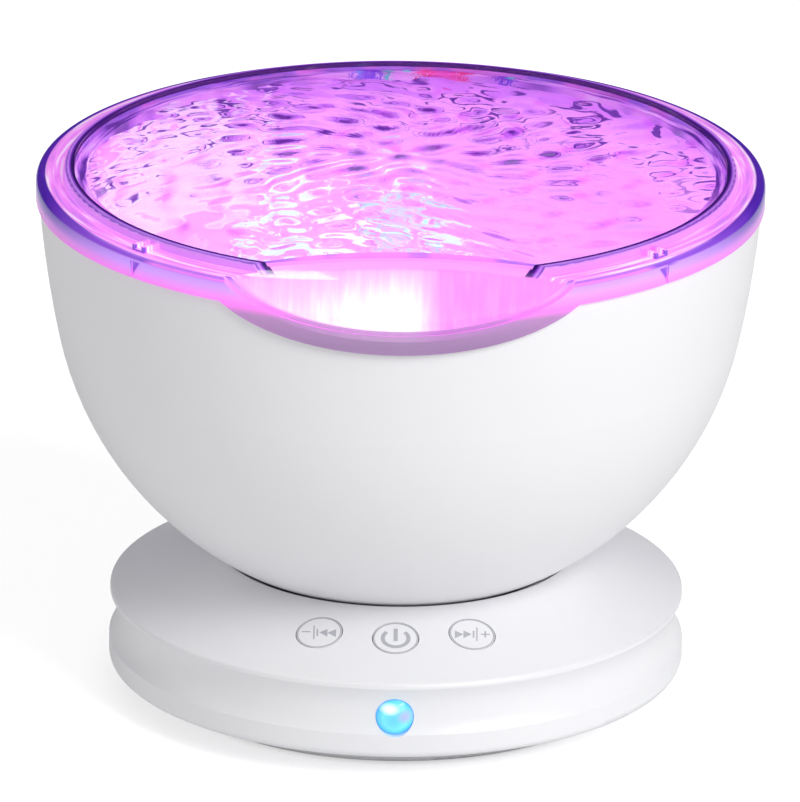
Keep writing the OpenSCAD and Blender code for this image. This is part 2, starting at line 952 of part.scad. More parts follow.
module friction_ring() {
    color("#8d8d94")
        rotate_extrude()
            difference() {
                friction_section(seat_fit);
                translate([0, ball_z])
                    circle(r = ball_r + ball_clear);
            }
}

module tilt_stem() {
    color(steel)
        along_stem()
            difference() {
                union() {
                    translate([0, 0, -stem_foot - stem_collar_t])
                        cylinder(r = stem_r, h = stem_foot + stem_collar_t - stem_top);
                    translate([0, 0, -stem_foot - stem_collar_t])
                        cylinder(r = stem_collar_r, h = stem_collar_t);
                }
                translate([0, 0, -stem_foot - stem_collar_t - 1])
                    cylinder(r = stem_bore, h = stem_foot);
            }
}

// Spherical strip inside the bowl between two angles from straight down, towards the front
module shoe_strip(low, high) {
    translate([0, 0, ball_z])
        rotate([0, 90, 0])
            rotate([0, 0, -high])
                rotate_extrude(angle = high - low)
                    intersection() {
                        difference() {
                            circle(r = shoe_r);
                            circle(r = shoe_r - shoe_t);
                        }
                        translate([0, -shoe_half_w])
                            square([shoe_r, 2 * shoe_half_w]);
                    }
}

module tilt_shoe() {
    color("#d9d9de")
        difference() {
            union() {
                shoe_strip(shoe_low, shoe_high);
                along_stem()
                    translate([0, 0, shoe_t / 2 - shoe_r])
                        cylinder(r = shoe_pad_r, h = shoe_r - shoe_t / 2 - pad_top);
            }
            along_stem()
                translate([0, 0, -ball_r])
                    cylinder(r = stem_r + slip_fit, h = ball_r - bush_top);
        }
}

module tilt_bush() {
    color(black)
        along_stem()
            translate([0, 0, -pad_top])
                difference() {
                    cylinder(r = bush_wall_r, h = bush_h);
                    translate([0, 0, -1])
                        cylinder(r = stem_r + seat_fit, h = bush_h + 2);
                }
}

module tilt_nut() {
    color(steel)
        along_stem()
            translate([0, 0, -bush_top])
                difference() {
                    cylinder(r = nut_r, h = nut_h, $fn = 6);
                    translate([0, 0, -1])
                        cylinder(r = stem_r + seat_fit, h = nut_h + 2);
                }
}

// Buttons

module button(k) {
    color(shell_white)
        intersection() {
            at_button(k)
                translate([0, 0, cap_low]) {
                    cylinder(r = button_r, h = 8);
                    cylinder(r = button_r + button_flange, h = button_flange);
                }
            under_top(0);
        }
}

module plunger(k) {
    color(black)
        at_button(k)
            translate([0, 0, cap_low - plunger_l + button_travel])
                cylinder(r = plunger_r, h = plunger_l - button_travel);
}

module previous_button() { button(-1); }

module power_button() { button(0); }

module next_button() { button(1); }

module previous_plunger() { plunger(-1); }

module power_plunger() { plunger(0); }

module next_plunger() { plunger(1); }

// Bowl

// Half section of the bowl's outer form, drawn in by an inset
module bowl_section(inset) {
    join_z = ball_z - (ball_r - inset) * cos(ball_angle);
    intersection() {
        translate([0, ball_z])
            circle(r = ball_r - inset);
        square([ball_r, join_z]);
    }
    intersection() {
        translate([flare_x, flare_z])
            circle(r = flare_r - inset);
        translate([0, join_z])
            square([2 * shoulder_r, shoulder_z - join_z]);
    }
}

function inner_r(drop) = sqrt(ball_in * ball_in - drop * drop);

module ledge_section() {
    sunk = bowl_wall / 2;
    top_r = inner_r(ledge_drop);
    low_drop = ledge_drop + ledge_t + ledge_w;
    polygon([[top_r - ledge_w, ledge_z], [top_r + sunk, ledge_z],
        [inner_r(low_drop) + sunk, ball_z - low_drop], [top_r - ledge_w, ledge_z - ledge_t]]);
}

// Slot for the stem, from its place at rest to its place at full tilt
module tilt_slot() {
    front = stem_angle + slot_end;
    rear = tilt_back - stem_angle + slot_end;
    cut = bowl_wall + 4;
    translate([0, 0, ball_z]) {
        rotate([0, 90, 0])
            rotate([0, 0, -front])
                rotate_extrude(angle = front + rear)
                    translate([ball_in - 2, -slot_half])
                        square([cut, 2 * slot_half]);
        for (a = [-front, rear])
            rotate([a, 0, 0])
                translate([0, 0, -ball_in + 2 - cut])
                    cylinder(r = slot_end_r, h = cut);
    }
}

module bowl() {
    color(shell_white)
        difference() {
            union() {
                rotate_extrude() {
                    difference() {
                        bowl_section(0);
                        bowl_section(bowl_wall);
                    }
                    ledge_section();
                    translate([tongue_r - tongue_t, shoulder_z - 1])
                        square([tongue_t, tongue_h + 1]);
                }
                for (a = concat(catch_angles, [tab_angle, -tab_angle]))
                    at_angle(a)
                        translate([-catch_w / 2, -tongue_r + slip_fit, shoulder_z - 1])
                            cube([catch_w, catch_t, tongue_h + 1]);
            }
            scoop(dip_skirt_h + slip_fit);
            tilt_slot();
            for (a = tray_screw_angles)
                at_angle(a)
                    translate([0, -tray_screw_ring, ledge_z - tray_screw_bite - end_play])
                        cylinder(r = key_screw_r + seat_fit, h = tray_screw_bite + 1);
        }
}

// Lid

// The scoop's hollow, grown outwards by a thickness
module scoop(grow) {
    half_l = sqrt(2 * scoop_arc * scoop_round) + grow;
    translate([0, scoop_y, scoop_z])
        rotate([0, 90, 0])
            rotate_extrude()
                intersection() {
                    translate([scoop_round - scoop_arc, 0])
                        circle(r = scoop_arc + grow);
                    translate([0, -2 * half_l])
                        square([2 * scoop_round, 4 * half_l]);
                }
}

module lid_section() {
    difference() {
        union() {
            translate([0, shoulder_z])
                square([lid_r, skirt_h]);
            translate([0, ring_z])
                square([bead_out, bead_h]);
        }
        round_off([lid_r, ring_z], [-1, 0], [0, -1], skirt_round);
        round_off([bead_out, ring_z + bead_h], [-1, 0], [0, -1], bead_w / 2.5);
    }
}

module lid_hollow() {
    rotate_extrude() {
        translate([0, shoulder_z - 2 * skirt_h])
            square([skirt_in, 3 * skirt_h - lid_wall]);
        translate([0, seat_z - seat_t])
            square([seat_in, 4 * skirt_h]);
        translate([0, seat_z])
            square([bead_in, 4 * skirt_h]);
    }
}

module ring_rib() {
    inner = (bead_out + bead_in) / 2;
    outer = lid_r - skirt_round;
    difference() {
        translate([-rib_w / 2, -outer, ring_z - 0.5])
            cube([rib_w, outer - inner, rib_h + 0.5]);
        translate([rib_wall - rib_w / 2, -outer - 1, ring_z + rib_wall / 2])
            cube([rib_w - 2 * rib_wall, outer - bead_out + 1, rib_h]);
    }
}

module lid_frame() {
    color(clear_lilac)
        difference() {
            union() {
                rotate_extrude()
                    lid_section();
                intersection() {
                    translate([0, 0, shoulder_z - 2 * skirt_h])
                        cylinder(r = lid_r, h = 2 * skirt_h + 0.5);
                    scoop(dip_skirt_h);
                }
                for (a = [catch_angle, -catch_angle])
                    at_angle(a)
                        ring_rib();
            }
            scoop(0);
            intersection() {
                scoop(scoop_lip_h);
                difference() {
                    cylinder(r = lid_r + 1, h = ring_z);
                    translate([0, 0, -1])
                        cylinder(r = lid_r - scoop_lip_w, h = ring_z + 2);
                }
            }
            difference() {
                lid_hollow();
                intersection() {
                    scoop(lid_wall);
                    translate([0, 0, shoulder_z - 2 * skirt_h])
                        cylinder(r = lid_r, h = scoop_cap - shoulder_z + 2 * skirt_h);
                }
                difference() {
                    translate([0, 0, seat_z - seat_t])
                        cylinder(r = skirt_in + 0.5, h = seat_t);
                    translate([0, 0, seat_z - seat_t - 1])
                        cylinder(r = seat_in, h = seat_t + 2);
                    translate([0, 0, seat_z - seat_t - 1])
                        difference() {
                            cylinder(r = lid_r, h = ring_z - lid_wall - seat_z + seat_t + 1);
                            translate([0, 0, -1])
                                cylinder(r = bead_out, h = seat_t + 4);
                        }
                }
            }
            for (a = catch_angles)
                at_angle(a)
                    translate([-slit_w / 2, -lid_r - 1, shoulder_z - 1])
                        cube([slit_w, 1 + slit_depth, skirt_h + 1 - skirt_round]);
        }
}

// Ripple height at a point, from -1 to 1
function total(v, i = 0) = i < len(v) ? v[i] + total(v, i + 1) : 0;
function ripple(x, y, pitch) = total([for (w = waves)
    let (along = x * cos(w[0]) + y * sin(w[0]), across = y * cos(w[0]) - x * sin(w[0]))
    sin(360 * along / (w[1] * pitch) + w[2] + wave_bend * sin(360 * across / (wave_bend_pitch * pitch)))
    ]) / len(waves);

// Reach of the lens at an angle from the front: its rim, or the scoop's inner edge if nearer
function scoop_radius(x, grow) = sqrt(pow(scoop_arc + grow, 2) - x * x) - scoop_arc + scoop_round;
function past_scoop(s, a) =
    let (r = scoop_radius(s * sin(a), lid_wall + lens_gap), drop = scoop_z - scoop_cap)
    r < drop || -s * cos(a) > scoop_y + sqrt(r * r - drop * drop);
function lens_reach(a, low, high, n) = n == 0 ? low
    : let (mid = (low + high) / 2)
    past_scoop(mid, a) ? lens_reach(a, mid, high, n - 1) : lens_reach(a, low, mid, n - 1);
function lens_edge(a) = cos(a) > 0.7 && !past_scoop(lens_r, a) ? lens_reach(a, 0, lens_r, 24) : lens_r;
function lens_dome(r) = seat_z + lens_rise * (1 - r * r / (lens_r * lens_r));

module wave_lens() {
    edge = [for (j = [0:lens_sides - 1]) lens_edge(360 * j / lens_sides)];
    top = [for (i = [1:lens_rings]) for (j = [0:lens_sides - 1])
        let (a = 360 * j / lens_sides, r = edge[j] * i / lens_rings, x = r * sin(a), y = -r * cos(a))
        [x, y, lens_dome(r) + lens_t + lens_ripple * ripple(x, y, lens_pitch)
            * min(1, (edge[j] - r) / lens_fade)]];
    low = [for (j = [0:lens_sides - 1])
        let (a = 360 * j / lens_sides, r = edge[j])
        [r * sin(a), -r * cos(a), lens_dome(r)]];
    crown = [[0, 0, lens_dome(0) + lens_t + lens_ripple * ripple(0, 0, lens_pitch)],
        [0, 0, lens_dome(0)]];
    n = lens_sides;
    rim = (lens_rings - 1) * n;
    floor_ring = lens_rings * n;
    peak = floor_ring + n;
    color(clear_lilac)
        polyhedron(points = concat(top, low, crown), faces = [
            for (j = [0:n - 1]) let (k = (j + 1) % n) each concat(
                [[peak, k, j]],
                [for (i = [0:lens_rings - 2]) each [
                    [i * n + j, i * n + k, i * n + n + k],
                    [i * n + j, i * n + n + k, i * n + n + j]]],
                [[rim + j, rim + k, floor_ring + k], [rim + j, floor_ring + k, floor_ring + j],
                    [peak + 1, floor_ring + j, floor_ring + k]])]);
}

// Light

module reflector_tray() {
    wall_top = tray_r - tray_lip;
    under = tray_t * 1.1;
    color(inner_white)
        difference() {
            union() {
                rotate_extrude()
                    polygon([[bush_r + seat_fit, platform_z - tray_t], [platform_r + under / 2, platform_z - tray_t],
                        [wall_top + under / 2, ledge_z], [tray_r, ledge_z], [tray_r, ledge_z + tray_t],
                        [wall_top, ledge_z + tray_t], [platform_r, platform_z],
                        [bush_r + seat_fit, platform_z]]);
                for (a = bracket_post_angles)
                    at_angle(a)
                        translate([0, -bracket_post_ring, gear_z])
                            cylinder(r = bracket_post_r, h = gear_room + tray_t / 2);
            }
            for (a = bracket_post_angles)
                at_angle(a)
                    translate([0, -bracket_post_ring, gear_z - 1])
                        cylinder(r = key_screw_r + seat_fit, h = 1 + small_screw_l + end_play);
            for (a = tray_screw_angles)
                at_angle(a)
                    translate([0, -tray_screw_ring, ledge_z - 1])
                        cylinder(r = key_screw_r + slip_fit, h = tray_t + 2);
        }
}

module tray_screws() {
    color(steel)
        for (a = tray_screw_angles)
            at_angle(a)
                translate([0, -tray_screw_ring, ledge_z + tray_t])
                    screw(key_screw_r, tray_t + tray_screw_bite, slim_head_r);
}

module led_board() {
    color("#e8e6df")
        translate([0, 0, platform_z])
            difference() {
                cylinder(r = led_board_r, h = led_board_t);
                translate([0, 0, -1])
                    cylinder(r = led_board_in, h = led_board_t + 2);
            }
}

// Every third lamp round the ring, starting at one of three places
module lamps(start) {
    for (i = [start:3:lamp_count - 1])
        at_angle(360 * i / lamp_count)
            translate([0, -lamp_ring, lamp_z]) {
                translate([-lamp_w / 2, -lamp_w / 2, 0])
                    cube([lamp_w, lamp_w, lamp_h]);
                intersection() {
                    translate([0, 0, lamp_h - 0.4])
                        sphere(r = lamp_dome_r);
                    translate([0, 0, lamp_h / 2])
                        cylinder(r = lamp_dome_r, h = 2 * lamp_dome_r);
                }
            }
}

module red_lamps() { color("#ff4a4a") lamps(0); }

module green_lamps() { color("#4aff6a") lamps(1); }

module blue_lamps() { color("#4a7bff") lamps(2); }

module spindle_bush() {
    color("#c9a24a")
        translate([0, 0, platform_z - tray_t])
            difference() {
                union() {
                    cylinder(r = bush_r, h = tray_t + 3);
                    translate([0, 0, -bush_flange_t])
                        cylinder(r = bush_flange_r, h = bush_flange_t);
                }
                translate([0, 0, -bush_flange_t - 1])
                    cylinder(r = spindle_r + running_fit, h = tray_t + bush_flange_t + 8);
            }
}

// Drive

module motor_bracket() {
    color(steel)
        difference() {
            union() {
                translate([0, 0, gear_z - bracket_t])
                    cylinder(r = bracket_r, h = bracket_t);
                translate([0, 0, gear_z - bracket_t - pivot_l])
                    cylinder(r = pivot_r, h = pivot_l + bracket_t);
            }
            translate([0, 0, gear_z - bracket_t - pivot_l / 2])
                cylinder(r = spindle_r + running_fit, h = through);
            translate([gear_spread, 0, gear_z - through / 2])
                cylinder(r = motor_boss_r + slip_fit, h = through);
            for (a = bracket_post_angles)
                at_angle(a)
                    translate([0, -bracket_post_ring, gear_z - through / 2])
                        cylinder(r = key_screw_r + slip_fit, h = through);
            for (y = [-motor_ear, motor_ear])
                translate([gear_spread + motor_offset, y, gear_z - through / 2])
                    cylinder(r = key_screw_r + slip_fit, h = through);
        }
}

module bracket_screws() {
    color(steel)
        for (a = bracket_post_angles)
            at_angle(a)
                translate([0, -bracket_post_ring, gear_z - bracket_t])
                    rotate([180, 0, 0])
                        screw(key_screw_r, bracket_t + small_screw_l, slim_head_r);
}

module gear_motor() {
    top = gear_z - bracket_t;
    ear_r = motor_ear + 2.6;
    color("#d8d2c4")
        difference() {
            union() {
                translate([gear_spread + motor_offset, 0, top - motor_plate_t]) {
                    intersection() {
                        cylinder(r = ear_r, h = motor_plate_t);
                        translate([-4, -ear_r, 0])
                            cube([8, 2 * ear_r, motor_plate_t]);
                    }
                    cylinder(r = motor_r, h = motor_plate_t);
                    translate([0, 0, -motor_h])
                        rotate_extrude()
                            difference() {
                                square([motor_r, motor_h]);
                                round_off([motor_r, 0], [-1, 0], [0, 1], 1.5);
                            }
                }
                translate([gear_spread, 0, top - motor_plate_t])
                    cylinder(r = motor_boss_r, h = motor_plate_t + bracket_t);
            }
            translate([gear_spread, 0, top - shaft_sink - end_play])
                cylinder(r = shaft_r + running_fit, h = through);
            for (y = [-motor_ear, motor_ear])
                translate([gear_spread + motor_offset, y, top - through / 2])
                    cylinder(r = key_screw_r + seat_fit, h = through);
        }
}

module motor_screws() {
    color(steel)
        for (y = [-motor_ear, motor_ear])
            translate([gear_spread + motor_offset, y, gear_z])
                screw(key_screw_r, bracket_t + motor_plate_t, slim_head_r);
}

// Involute tooth: half its angle at a radius, measured from the tooth's middle
function involute(base, r) = let (t = sqrt(max(0, r * r / (base * base) - 1))) t * 180 / PI - atan(t);
function tooth_half(teeth, r) =
    let (pitch_r = gear_module * teeth / 2, base = pitch_r * cos(tooth_angle))
    90 / teeth - tooth_play * 180 / PI / pitch_r + involute(base, pitch_r) - involute(base, max(r, base));

module gear_outline(teeth) {
    pitch_r = gear_module * teeth / 2;
    root = pitch_r - 1.25 * gear_module;
    tip = pitch_r + 0.95 * gear_module;
    radii = [for (i = [0:tooth_steps]) root + (tip - root) * i / tooth_steps];
    rise = [for (r = radii) [r, -tooth_half(teeth, r)]];
    fall = [for (i = [tooth_steps:-1:0]) [radii[i], tooth_half(teeth, radii[i])]];
    polygon([for (k = [0:teeth - 1]) for (p = concat(rise, fall))
        p[0] * [cos(360 * k / teeth + p[1]), sin(360 * k / teeth + p[1])]]);
}

module motor_shaft() {
    color(steel)
        translate([gear_spread, 0, gear_z - bracket_t - shaft_sink])
            cylinder(r = shaft_r, h = bracket_t + shaft_sink + end_play + pinion_t + shaft_end);
}

module motor_pinion() {
    color("#f2efe6")
        translate([gear_spread, 0, gear_z + end_play])
            difference() {
                rotate([0, 0, 180 / pinion_teeth])
                    linear_extrude(height = pinion_t)
                        gear_outline(pinion_teeth);
                translate([0, 0, -1])
                    cylinder(r = shaft_r + seat_fit / 2, h = through);
            }
}

module disc_spindle() {
    color(steel)
        translate([0, 0, gear_z - bracket_t - pivot_l / 2 + end_play])
            cylinder(r = spindle_r, h = disc_z + disc_t - cap_peg_l - seat_fit
                - gear_z + bracket_t + pivot_l / 2 - end_play);
}

module disc_gear() {
    color("#f2efe6")
        translate([0, 0, gear_z + end_play])
            difference() {
                union() {
                    translate([0, 0, gear_step])
                        linear_extrude(height = gear_t - end_play)
                            gear_outline(gear_teeth);
                    cylinder(r = pivot_r, h = gear_step + gear_t + gear_boss_h);
                }
                translate([0, 0, -1])
                    cylinder(r = spindle_r + seat_fit / 2, h = through);
            }
}

module disc_hub() {
    color("#f2efe6")
        translate([0, 0, disc_z])
            difference() {
                union() {
                    translate([0, 0, -hub_flange_t - hub_sleeve_l])
                        cylinder(r = hub_sleeve_r, h = hub_sleeve_l);
                    translate([0, 0, -hub_flange_t])
                        cylinder(r = hub_r, h = hub_flange_t);
                    cylinder(r = hub_neck_r, h = disc_t);
                }
                translate([0, 0, -hub_flange_t - hub_sleeve_l - 1])
                    cylinder(r = spindle_r + seat_fit / 2, h = hub_sleeve_l + hub_flange_t + disc_t + 4);
            }
}

module wave_disc() {
    n = disc_sides;
    hole = hub_neck_r + slip_fit;
    calm = hub_r + 1;
    top = [for (i = [0:disc_rings]) for (j = [0:n - 1])
        let (a = 360 * j / n, r = hole + (disc_r - hole) * i / disc_rings,
            x = r * sin(a), y = -r * cos(a),
            swell = min(1, max(0, r - calm) / lens_fade, (disc_r - r) / lens_fade))
        [x, y, disc_z + disc_t + disc_ripple * swell * (1 + ripple(y, x, disc_pitch)) / 2]];
    low = [for (r = [hole, disc_r]) for (j = [0:n - 1])
        let (a = 360 * j / n)
        [r * sin(a), -r * cos(a), disc_z]];
    rim = disc_rings * n;
    floor_in = rim + n;
    floor_out = floor_in + n;
    color("#d7e6f7")
        polyhedron(points = concat(top, low), faces = [
            for (j = [0:n - 1]) let (k = (j + 1) % n) each concat(
                [for (i = [0:disc_rings - 1]) each [
                    [i * n + j, i * n + k, i * n + n + k],
                    [i * n + j, i * n + n + k, i * n + n + j]]],
                [[rim + j, rim + k, floor_out + k], [rim + j, floor_out + k, floor_out + j],
                    [j, floor_in + j, floor_in + k], [j, floor_in + k, k],
                    [floor_in + j, floor_out + j, floor_out + k],
                    [floor_in + j, floor_out + k, floor_in + k]])]);
}

module hub_cap() {
    color("#f2efe6")
        translate([0, 0, disc_z + disc_t]) {
            rotate_extrude()
                difference() {
                    square([hub_r, cap_t]);
                    round_off([hub_r, cap_t], [-1, 0], [0, -1], cap_t / 2);
                }
            translate([0, 0, -cap_peg_l])
                cylinder(r = spindle_r - seat_fit / 2, h = cap_peg_l);
        }
}

base_top_cover();
base_side_shell();
base_bottom_cover();
rubber_feet();
base_screws();
speaker_frame();
speaker_cone();
main_board();
board_screws();
power_socket();
aux_socket();
card_socket();
key_board();
key_board_screws();
key_switches();
ir_window();
indicator_board();
ir_receiver();
indicator_led();
friction_ring();
tilt_stem();
tilt_shoe();
tilt_bush();
tilt_nut();
power_button();
previous_button();
next_button();
power_plunger();
previous_plunger();
next_plunger();
bowl();
lid_frame();
wave_lens();
reflector_tray();
tray_screws();
led_board();
red_lamps();
green_lamps();
blue_lamps();
spindle_bush();
motor_bracket();
bracket_screws();
gear_motor();
motor_screws();
motor_shaft();
motor_pinion();
disc_spindle();
disc_gear();
disc_hub();
wave_disc();
hub_cap();
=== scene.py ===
import json
import math

import bpy
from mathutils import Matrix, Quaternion, Vector


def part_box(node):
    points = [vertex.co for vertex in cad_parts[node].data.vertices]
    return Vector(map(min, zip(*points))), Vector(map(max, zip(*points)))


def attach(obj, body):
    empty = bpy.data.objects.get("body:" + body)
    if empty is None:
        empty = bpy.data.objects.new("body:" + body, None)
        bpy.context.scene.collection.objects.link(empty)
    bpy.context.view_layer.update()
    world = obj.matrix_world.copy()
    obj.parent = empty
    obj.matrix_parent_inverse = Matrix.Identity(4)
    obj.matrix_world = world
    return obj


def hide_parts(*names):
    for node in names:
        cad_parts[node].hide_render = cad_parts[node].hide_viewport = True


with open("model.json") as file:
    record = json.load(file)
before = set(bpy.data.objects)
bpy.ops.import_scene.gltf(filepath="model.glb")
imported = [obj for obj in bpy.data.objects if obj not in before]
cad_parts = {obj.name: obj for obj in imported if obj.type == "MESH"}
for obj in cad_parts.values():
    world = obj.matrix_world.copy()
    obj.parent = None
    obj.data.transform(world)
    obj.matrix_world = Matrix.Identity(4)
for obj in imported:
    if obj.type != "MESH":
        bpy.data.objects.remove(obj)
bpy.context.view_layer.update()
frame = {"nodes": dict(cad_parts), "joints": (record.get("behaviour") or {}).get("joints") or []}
bpy.ops.object.select_all(action="DESELECT")

# Camera
# A long lens in front of the projector and a little above it, so that the rim is a flat ellipse.
# Its distance and height follow from the rim, the base's seam and the buttons.
eye = Vector((0, -2.3512, 0.9097))
aim = Vector((0.00035, 0.00058, 0.0616))
roll = math.radians(0.65)
focal_length_mm = 542.1
film_width_mm = 36
looking = (aim - eye).to_track_quat("-Z", "Y") @ Quaternion((0, 0, 1), roll)
bpy.ops.object.camera_add(location=eye, rotation=looking.to_euler())
camera = bpy.context.object
camera.data.lens = focal_length_mm
camera.data.sensor_width = film_width_mm
bpy.context.scene.camera = camera

# Bottom cover
# The floor of the base is a moulded tub of plain white polystyrene with a flange under the side.
# Its steel screws go up into the top cover's posts, and four rubber pads are pressed into it.
mm = 0.001


def linear(code):
    """Linear colour of an sRGB hex code."""
    parts = [int(code[i:i + 2], 16) / 255 for i in (1, 3, 5)]
    return [c / 12.92 if c <= 0.04045 else ((c + 0.055) / 1.055) ** 2.4 for c in parts] + [1]


def add_node(tree, kind, inputs, **settings):
    """Adds a shader node with its settings, and sets or links its inputs by name or number."""
    made = tree.nodes.new("ShaderNode" + kind)
    for name, value in settings.items():
        setattr(made, name, value)
    for key, value in inputs.items():
        if isinstance(value, bpy.types.NodeSocket):
            tree.links.new(value, made.inputs[key])
        else:
            made.inputs[key].default_value = value
    return made


def start_material(name):
    """A material with its main shader, and places on the object in millimetres."""
    material = bpy.data.materials.new(name)
    material.use_nodes = True
    tree = material.node_tree
    place = add_node(tree, "TexCoord", {}).outputs["Object"]
    in_mm = add_node(tree, "VectorMath", {0: place, "Scale": 1 / mm}, operation="SCALE").outputs[0]
    return material, tree, tree.nodes["Principled BSDF"], in_mm


def blend(tree, share, first, second):
    """Mix of two colours, given as sockets, linear colours or hex codes, by a share from 0 to 1."""
    pair = [linear(c) if isinstance(c, str) else c for c in (first, second)]
    return add_node(tree, "Mix", {0: share, 6: pair[0], 7: pair[1]}, data_type="RGBA").outputs[2]


def moulded(name, colour, shade, roughness, grain=0.45, depth=0.004):
    """Moulded plastic: its colour drifts to a second shade, as cooling leaves it, and the mould's
    spark-eroded grain, with its width and depth in millimetres, breaks up the gloss."""
    drift_width = 30
    gloss_swing = 0.04
    material, tree, shader, place = start_material(name)
    drift = add_node(tree, "TexNoise", {"Vector": place, "Scale": 1 / drift_width, "Detail": 2}).outputs[0]
    fine = add_node(tree, "TexNoise", {"Vector": place, "Scale": 1 / grain, "Detail": 1}).outputs[0]
    gloss = add_node(tree, "MapRange", {0: fine, 3: roughness - gloss_swing, 4: roughness + gloss_swing})
    bump = add_node(tree, "Bump", {"Height": fine, "Distance": depth * mm})
    tree.links.new(blend(tree, drift, colour, shade), shader.inputs["Base Color"])
    tree.links.new(gloss.outputs[0], shader.inputs["Roughness"])
    tree.links.new(bump.outputs[0], shader.inputs["Normal"])
    return material


def drawn_metal(name, colour, roughness):
    """Rolled or turned metal: fine streaks across the height, bright and grey in turn."""
    streaks_per_mm = (0.3, 0.3, 6)
    gloss_swing = 0.08
    grey_share = 0.8
    material, tree, shader, place = start_material(name)
    flat = add_node(tree, "VectorMath", {0: place, 1: streaks_per_mm}, operation="MULTIPLY").outputs[0]
    streak = add_node(tree, "TexNoise", {"Vector": flat, "Scale": 1, "Detail": 3}).outputs[0]
    gloss = add_node(tree, "MapRange", {0: streak, 3: roughness - gloss_swing, 4: roughness + gloss_swing})
    grey = [c * grey_share for c in linear(colour)[:3]] + [1]
    tree.links.new(blend(tree, streak, colour, grey), shader.inputs["Base Color"])
    tree.links.new(gloss.outputs[0], shader.inputs["Roughness"])
    shader.inputs["Metallic"].default_value = 1
    return material


def dress(material, *names):
    """Gives CAD nodes their finish."""
    for name in names:
        for slot in frame["nodes"][name].material_slots:
            slot.material = material


plain_white = moulded("white_polystyrene", "#ECECEE", "#E4E4E7", roughness=0.5)
rubber = moulded("black_rubber", "#202022", "#2A2A2C", roughness=0.78, grain=0.7, depth=0.02)
zinc = drawn_metal("zinc_plated_steel", "#C9CCD2", roughness=0.32)
dress(plain_white, "base_bottom_cover")
dress(rubber, "rubber_feet")
dress(zinc, "base_screws")

# Speaker
# A small driver with a black pressed basket and magnet, and a grey paper cone behind the grille.
# It lies face down in a ring of ribs on the floor.
basket = moulded("black_coated_steel", "#1D1D20", "#26262A", roughness=0.45)
paper = moulded("speaker_paper", "#4A4A50", "#3C3C42", roughness=0.85, grain=0.6, depth=0.03)
dress(basket, "speaker_frame")
dress(paper, "speaker_cone")

# Main board and its sockets
# Green glass-epoxy board on four posts at the back, held by two screws.
# It carries the power inlet, the audio socket and the card socket, which look out of the side.


def glass_epoxy(name, mask, track):
    """Circuit board: solder mask over copper tracks, 1 mm apart one way and 2 mm the other."""
    pattern_size = 4
    track_width = 0.12
    track_depth = 0.03
    material, tree, shader, place = start_material(name)
    tracks = add_node(tree, "TexBrick", {"Vector": place, "Scale": 1 / pattern_size,
                                         "Color1": linear(mask), "Color2": linear(mask),
                                         "Mortar": linear(track),
                                         "Mortar Size": track_width / pattern_size})
    bump = add_node(tree, "Bump", {"Height": tracks.outputs["Fac"], "Distance": track_depth * mm})
    tree.links.new(tracks.outputs["Color"], shader.inputs["Base Color"])
    tree.links.new(bump.outputs[0], shader.inputs["Normal"])
    shader.inputs["Roughness"].default_value = 0.35
    return material


green_board = glass_epoxy("green_solder_mask", "#1F6B45", "#2F8A5C")
black_nylon = moulded("black_nylon", "#222225", "#2B2B2F", roughness=0.5)
dress(green_board, "main_board", "key_board", "indicator_board")
dress(zinc, "board_screws", "power_socket", "card_socket")
dress(black_nylon, "aux_socket")

# Side shell and its blue window
# The waisted side is a ring of satin white ABS, clamped between the covers.
# The blue window is a domed acrylic lens, pushed through from inside; the light of a lamp behind it is
# painted in as a glow.
white_abs = moulded("satin_white_abs", "#F1F1F3", "#EDEDF0", roughness=0.36)
dress(white_abs, "base_side_shell")


def banded(tree, value, stops):
    """Colours along a value: each stop is a value and a hex code, from low to high."""
    low = stops[0][0]
    high = stops[-1][0]
    share = add_node(tree, "MapRange", {0: value, 1: low, 2: high}).outputs[0]
    ramp = add_node(tree, "ValToRGB", {"Fac": share})
    for _ in stops[2:]:
        ramp.color_ramp.elements.new(0.5)
    for element, (at, colour) in zip(ramp.color_ramp.elements, stops):
        element.position = (at - low) / (high - low)
        element.color = linear(colour)
    return ramp.outputs[0]


def lit_window(name):
    """Blue acrylic with the lamp behind it, its light painted in as a glow: cyan, with rings, a violet side
    and a painted pale highlight, placed in millimetres from its middle."""
    violet_at = (2.1, 0, 0.5)
    painted_highlight_at = (-0.6, 0, 2.0)
    painted_highlight_shape = (0.55, 0, 1)
    material, tree, shader, place = start_material(name)
    low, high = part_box("ir_window")
    centre = (low + high) / 2 / mm
    off = add_node(tree, "VectorMath", {0: place, 1: centre}, operation="SUBTRACT").outputs[0]
    flat = add_node(tree, "VectorMath", {0: off, 1: (1, 0, 1)}, operation="MULTIPLY").outputs[0]
    reach = add_node(tree, "VectorMath", {0: flat}, operation="LENGTH").outputs["Value"]
    rings = banded(tree, reach, ((0, "#62C0FF"), (1.2, "#68CCFF"), (2.4, "#74DEFF"), (3.3, "#5CCAFF"),
                                 (3.8, "#58B4F2")))
    side = add_node(tree, "VectorMath", {0: flat, 1: violet_at}, operation="DISTANCE").outputs["Value"]
    violet = add_node(tree, "MapRange", {0: side, 1: 1.9, 2: 0.5, 4: 0.8}).outputs[0]
    tinted = blend(tree, violet, rings, "#A9A0FF")
    # A painted pale highlight above and left of the middle.
    long = add_node(tree, "VectorMath", {0: flat, 1: painted_highlight_shape}, operation="MULTIPLY").outputs[0]
    corner = add_node(tree, "VectorMath", {0: long, 1: painted_highlight_at}, operation="DISTANCE").outputs["Value"]
    painted_highlight = add_node(tree, "MapRange", {0: corner, 1: 1.3, 2: 0.3}).outputs[0]
    colour = blend(tree, painted_highlight, tinted, "#EFFFFF")
    # The glow is painted light of the lamp behind the window.
    tree.links.new(colour, shader.inputs["Base Color"])
    tree.links.new(colour, shader.inputs["Emission Color"])
    shader.inputs["Emission Strength"].default_value = 0.4
    shader.inputs["Roughness"].default_value = 0.12
    shader.inputs["IOR"].default_value = 1.49
    return material


dress(lit_window("blue_acrylic_painted_glow"), "ir_window")

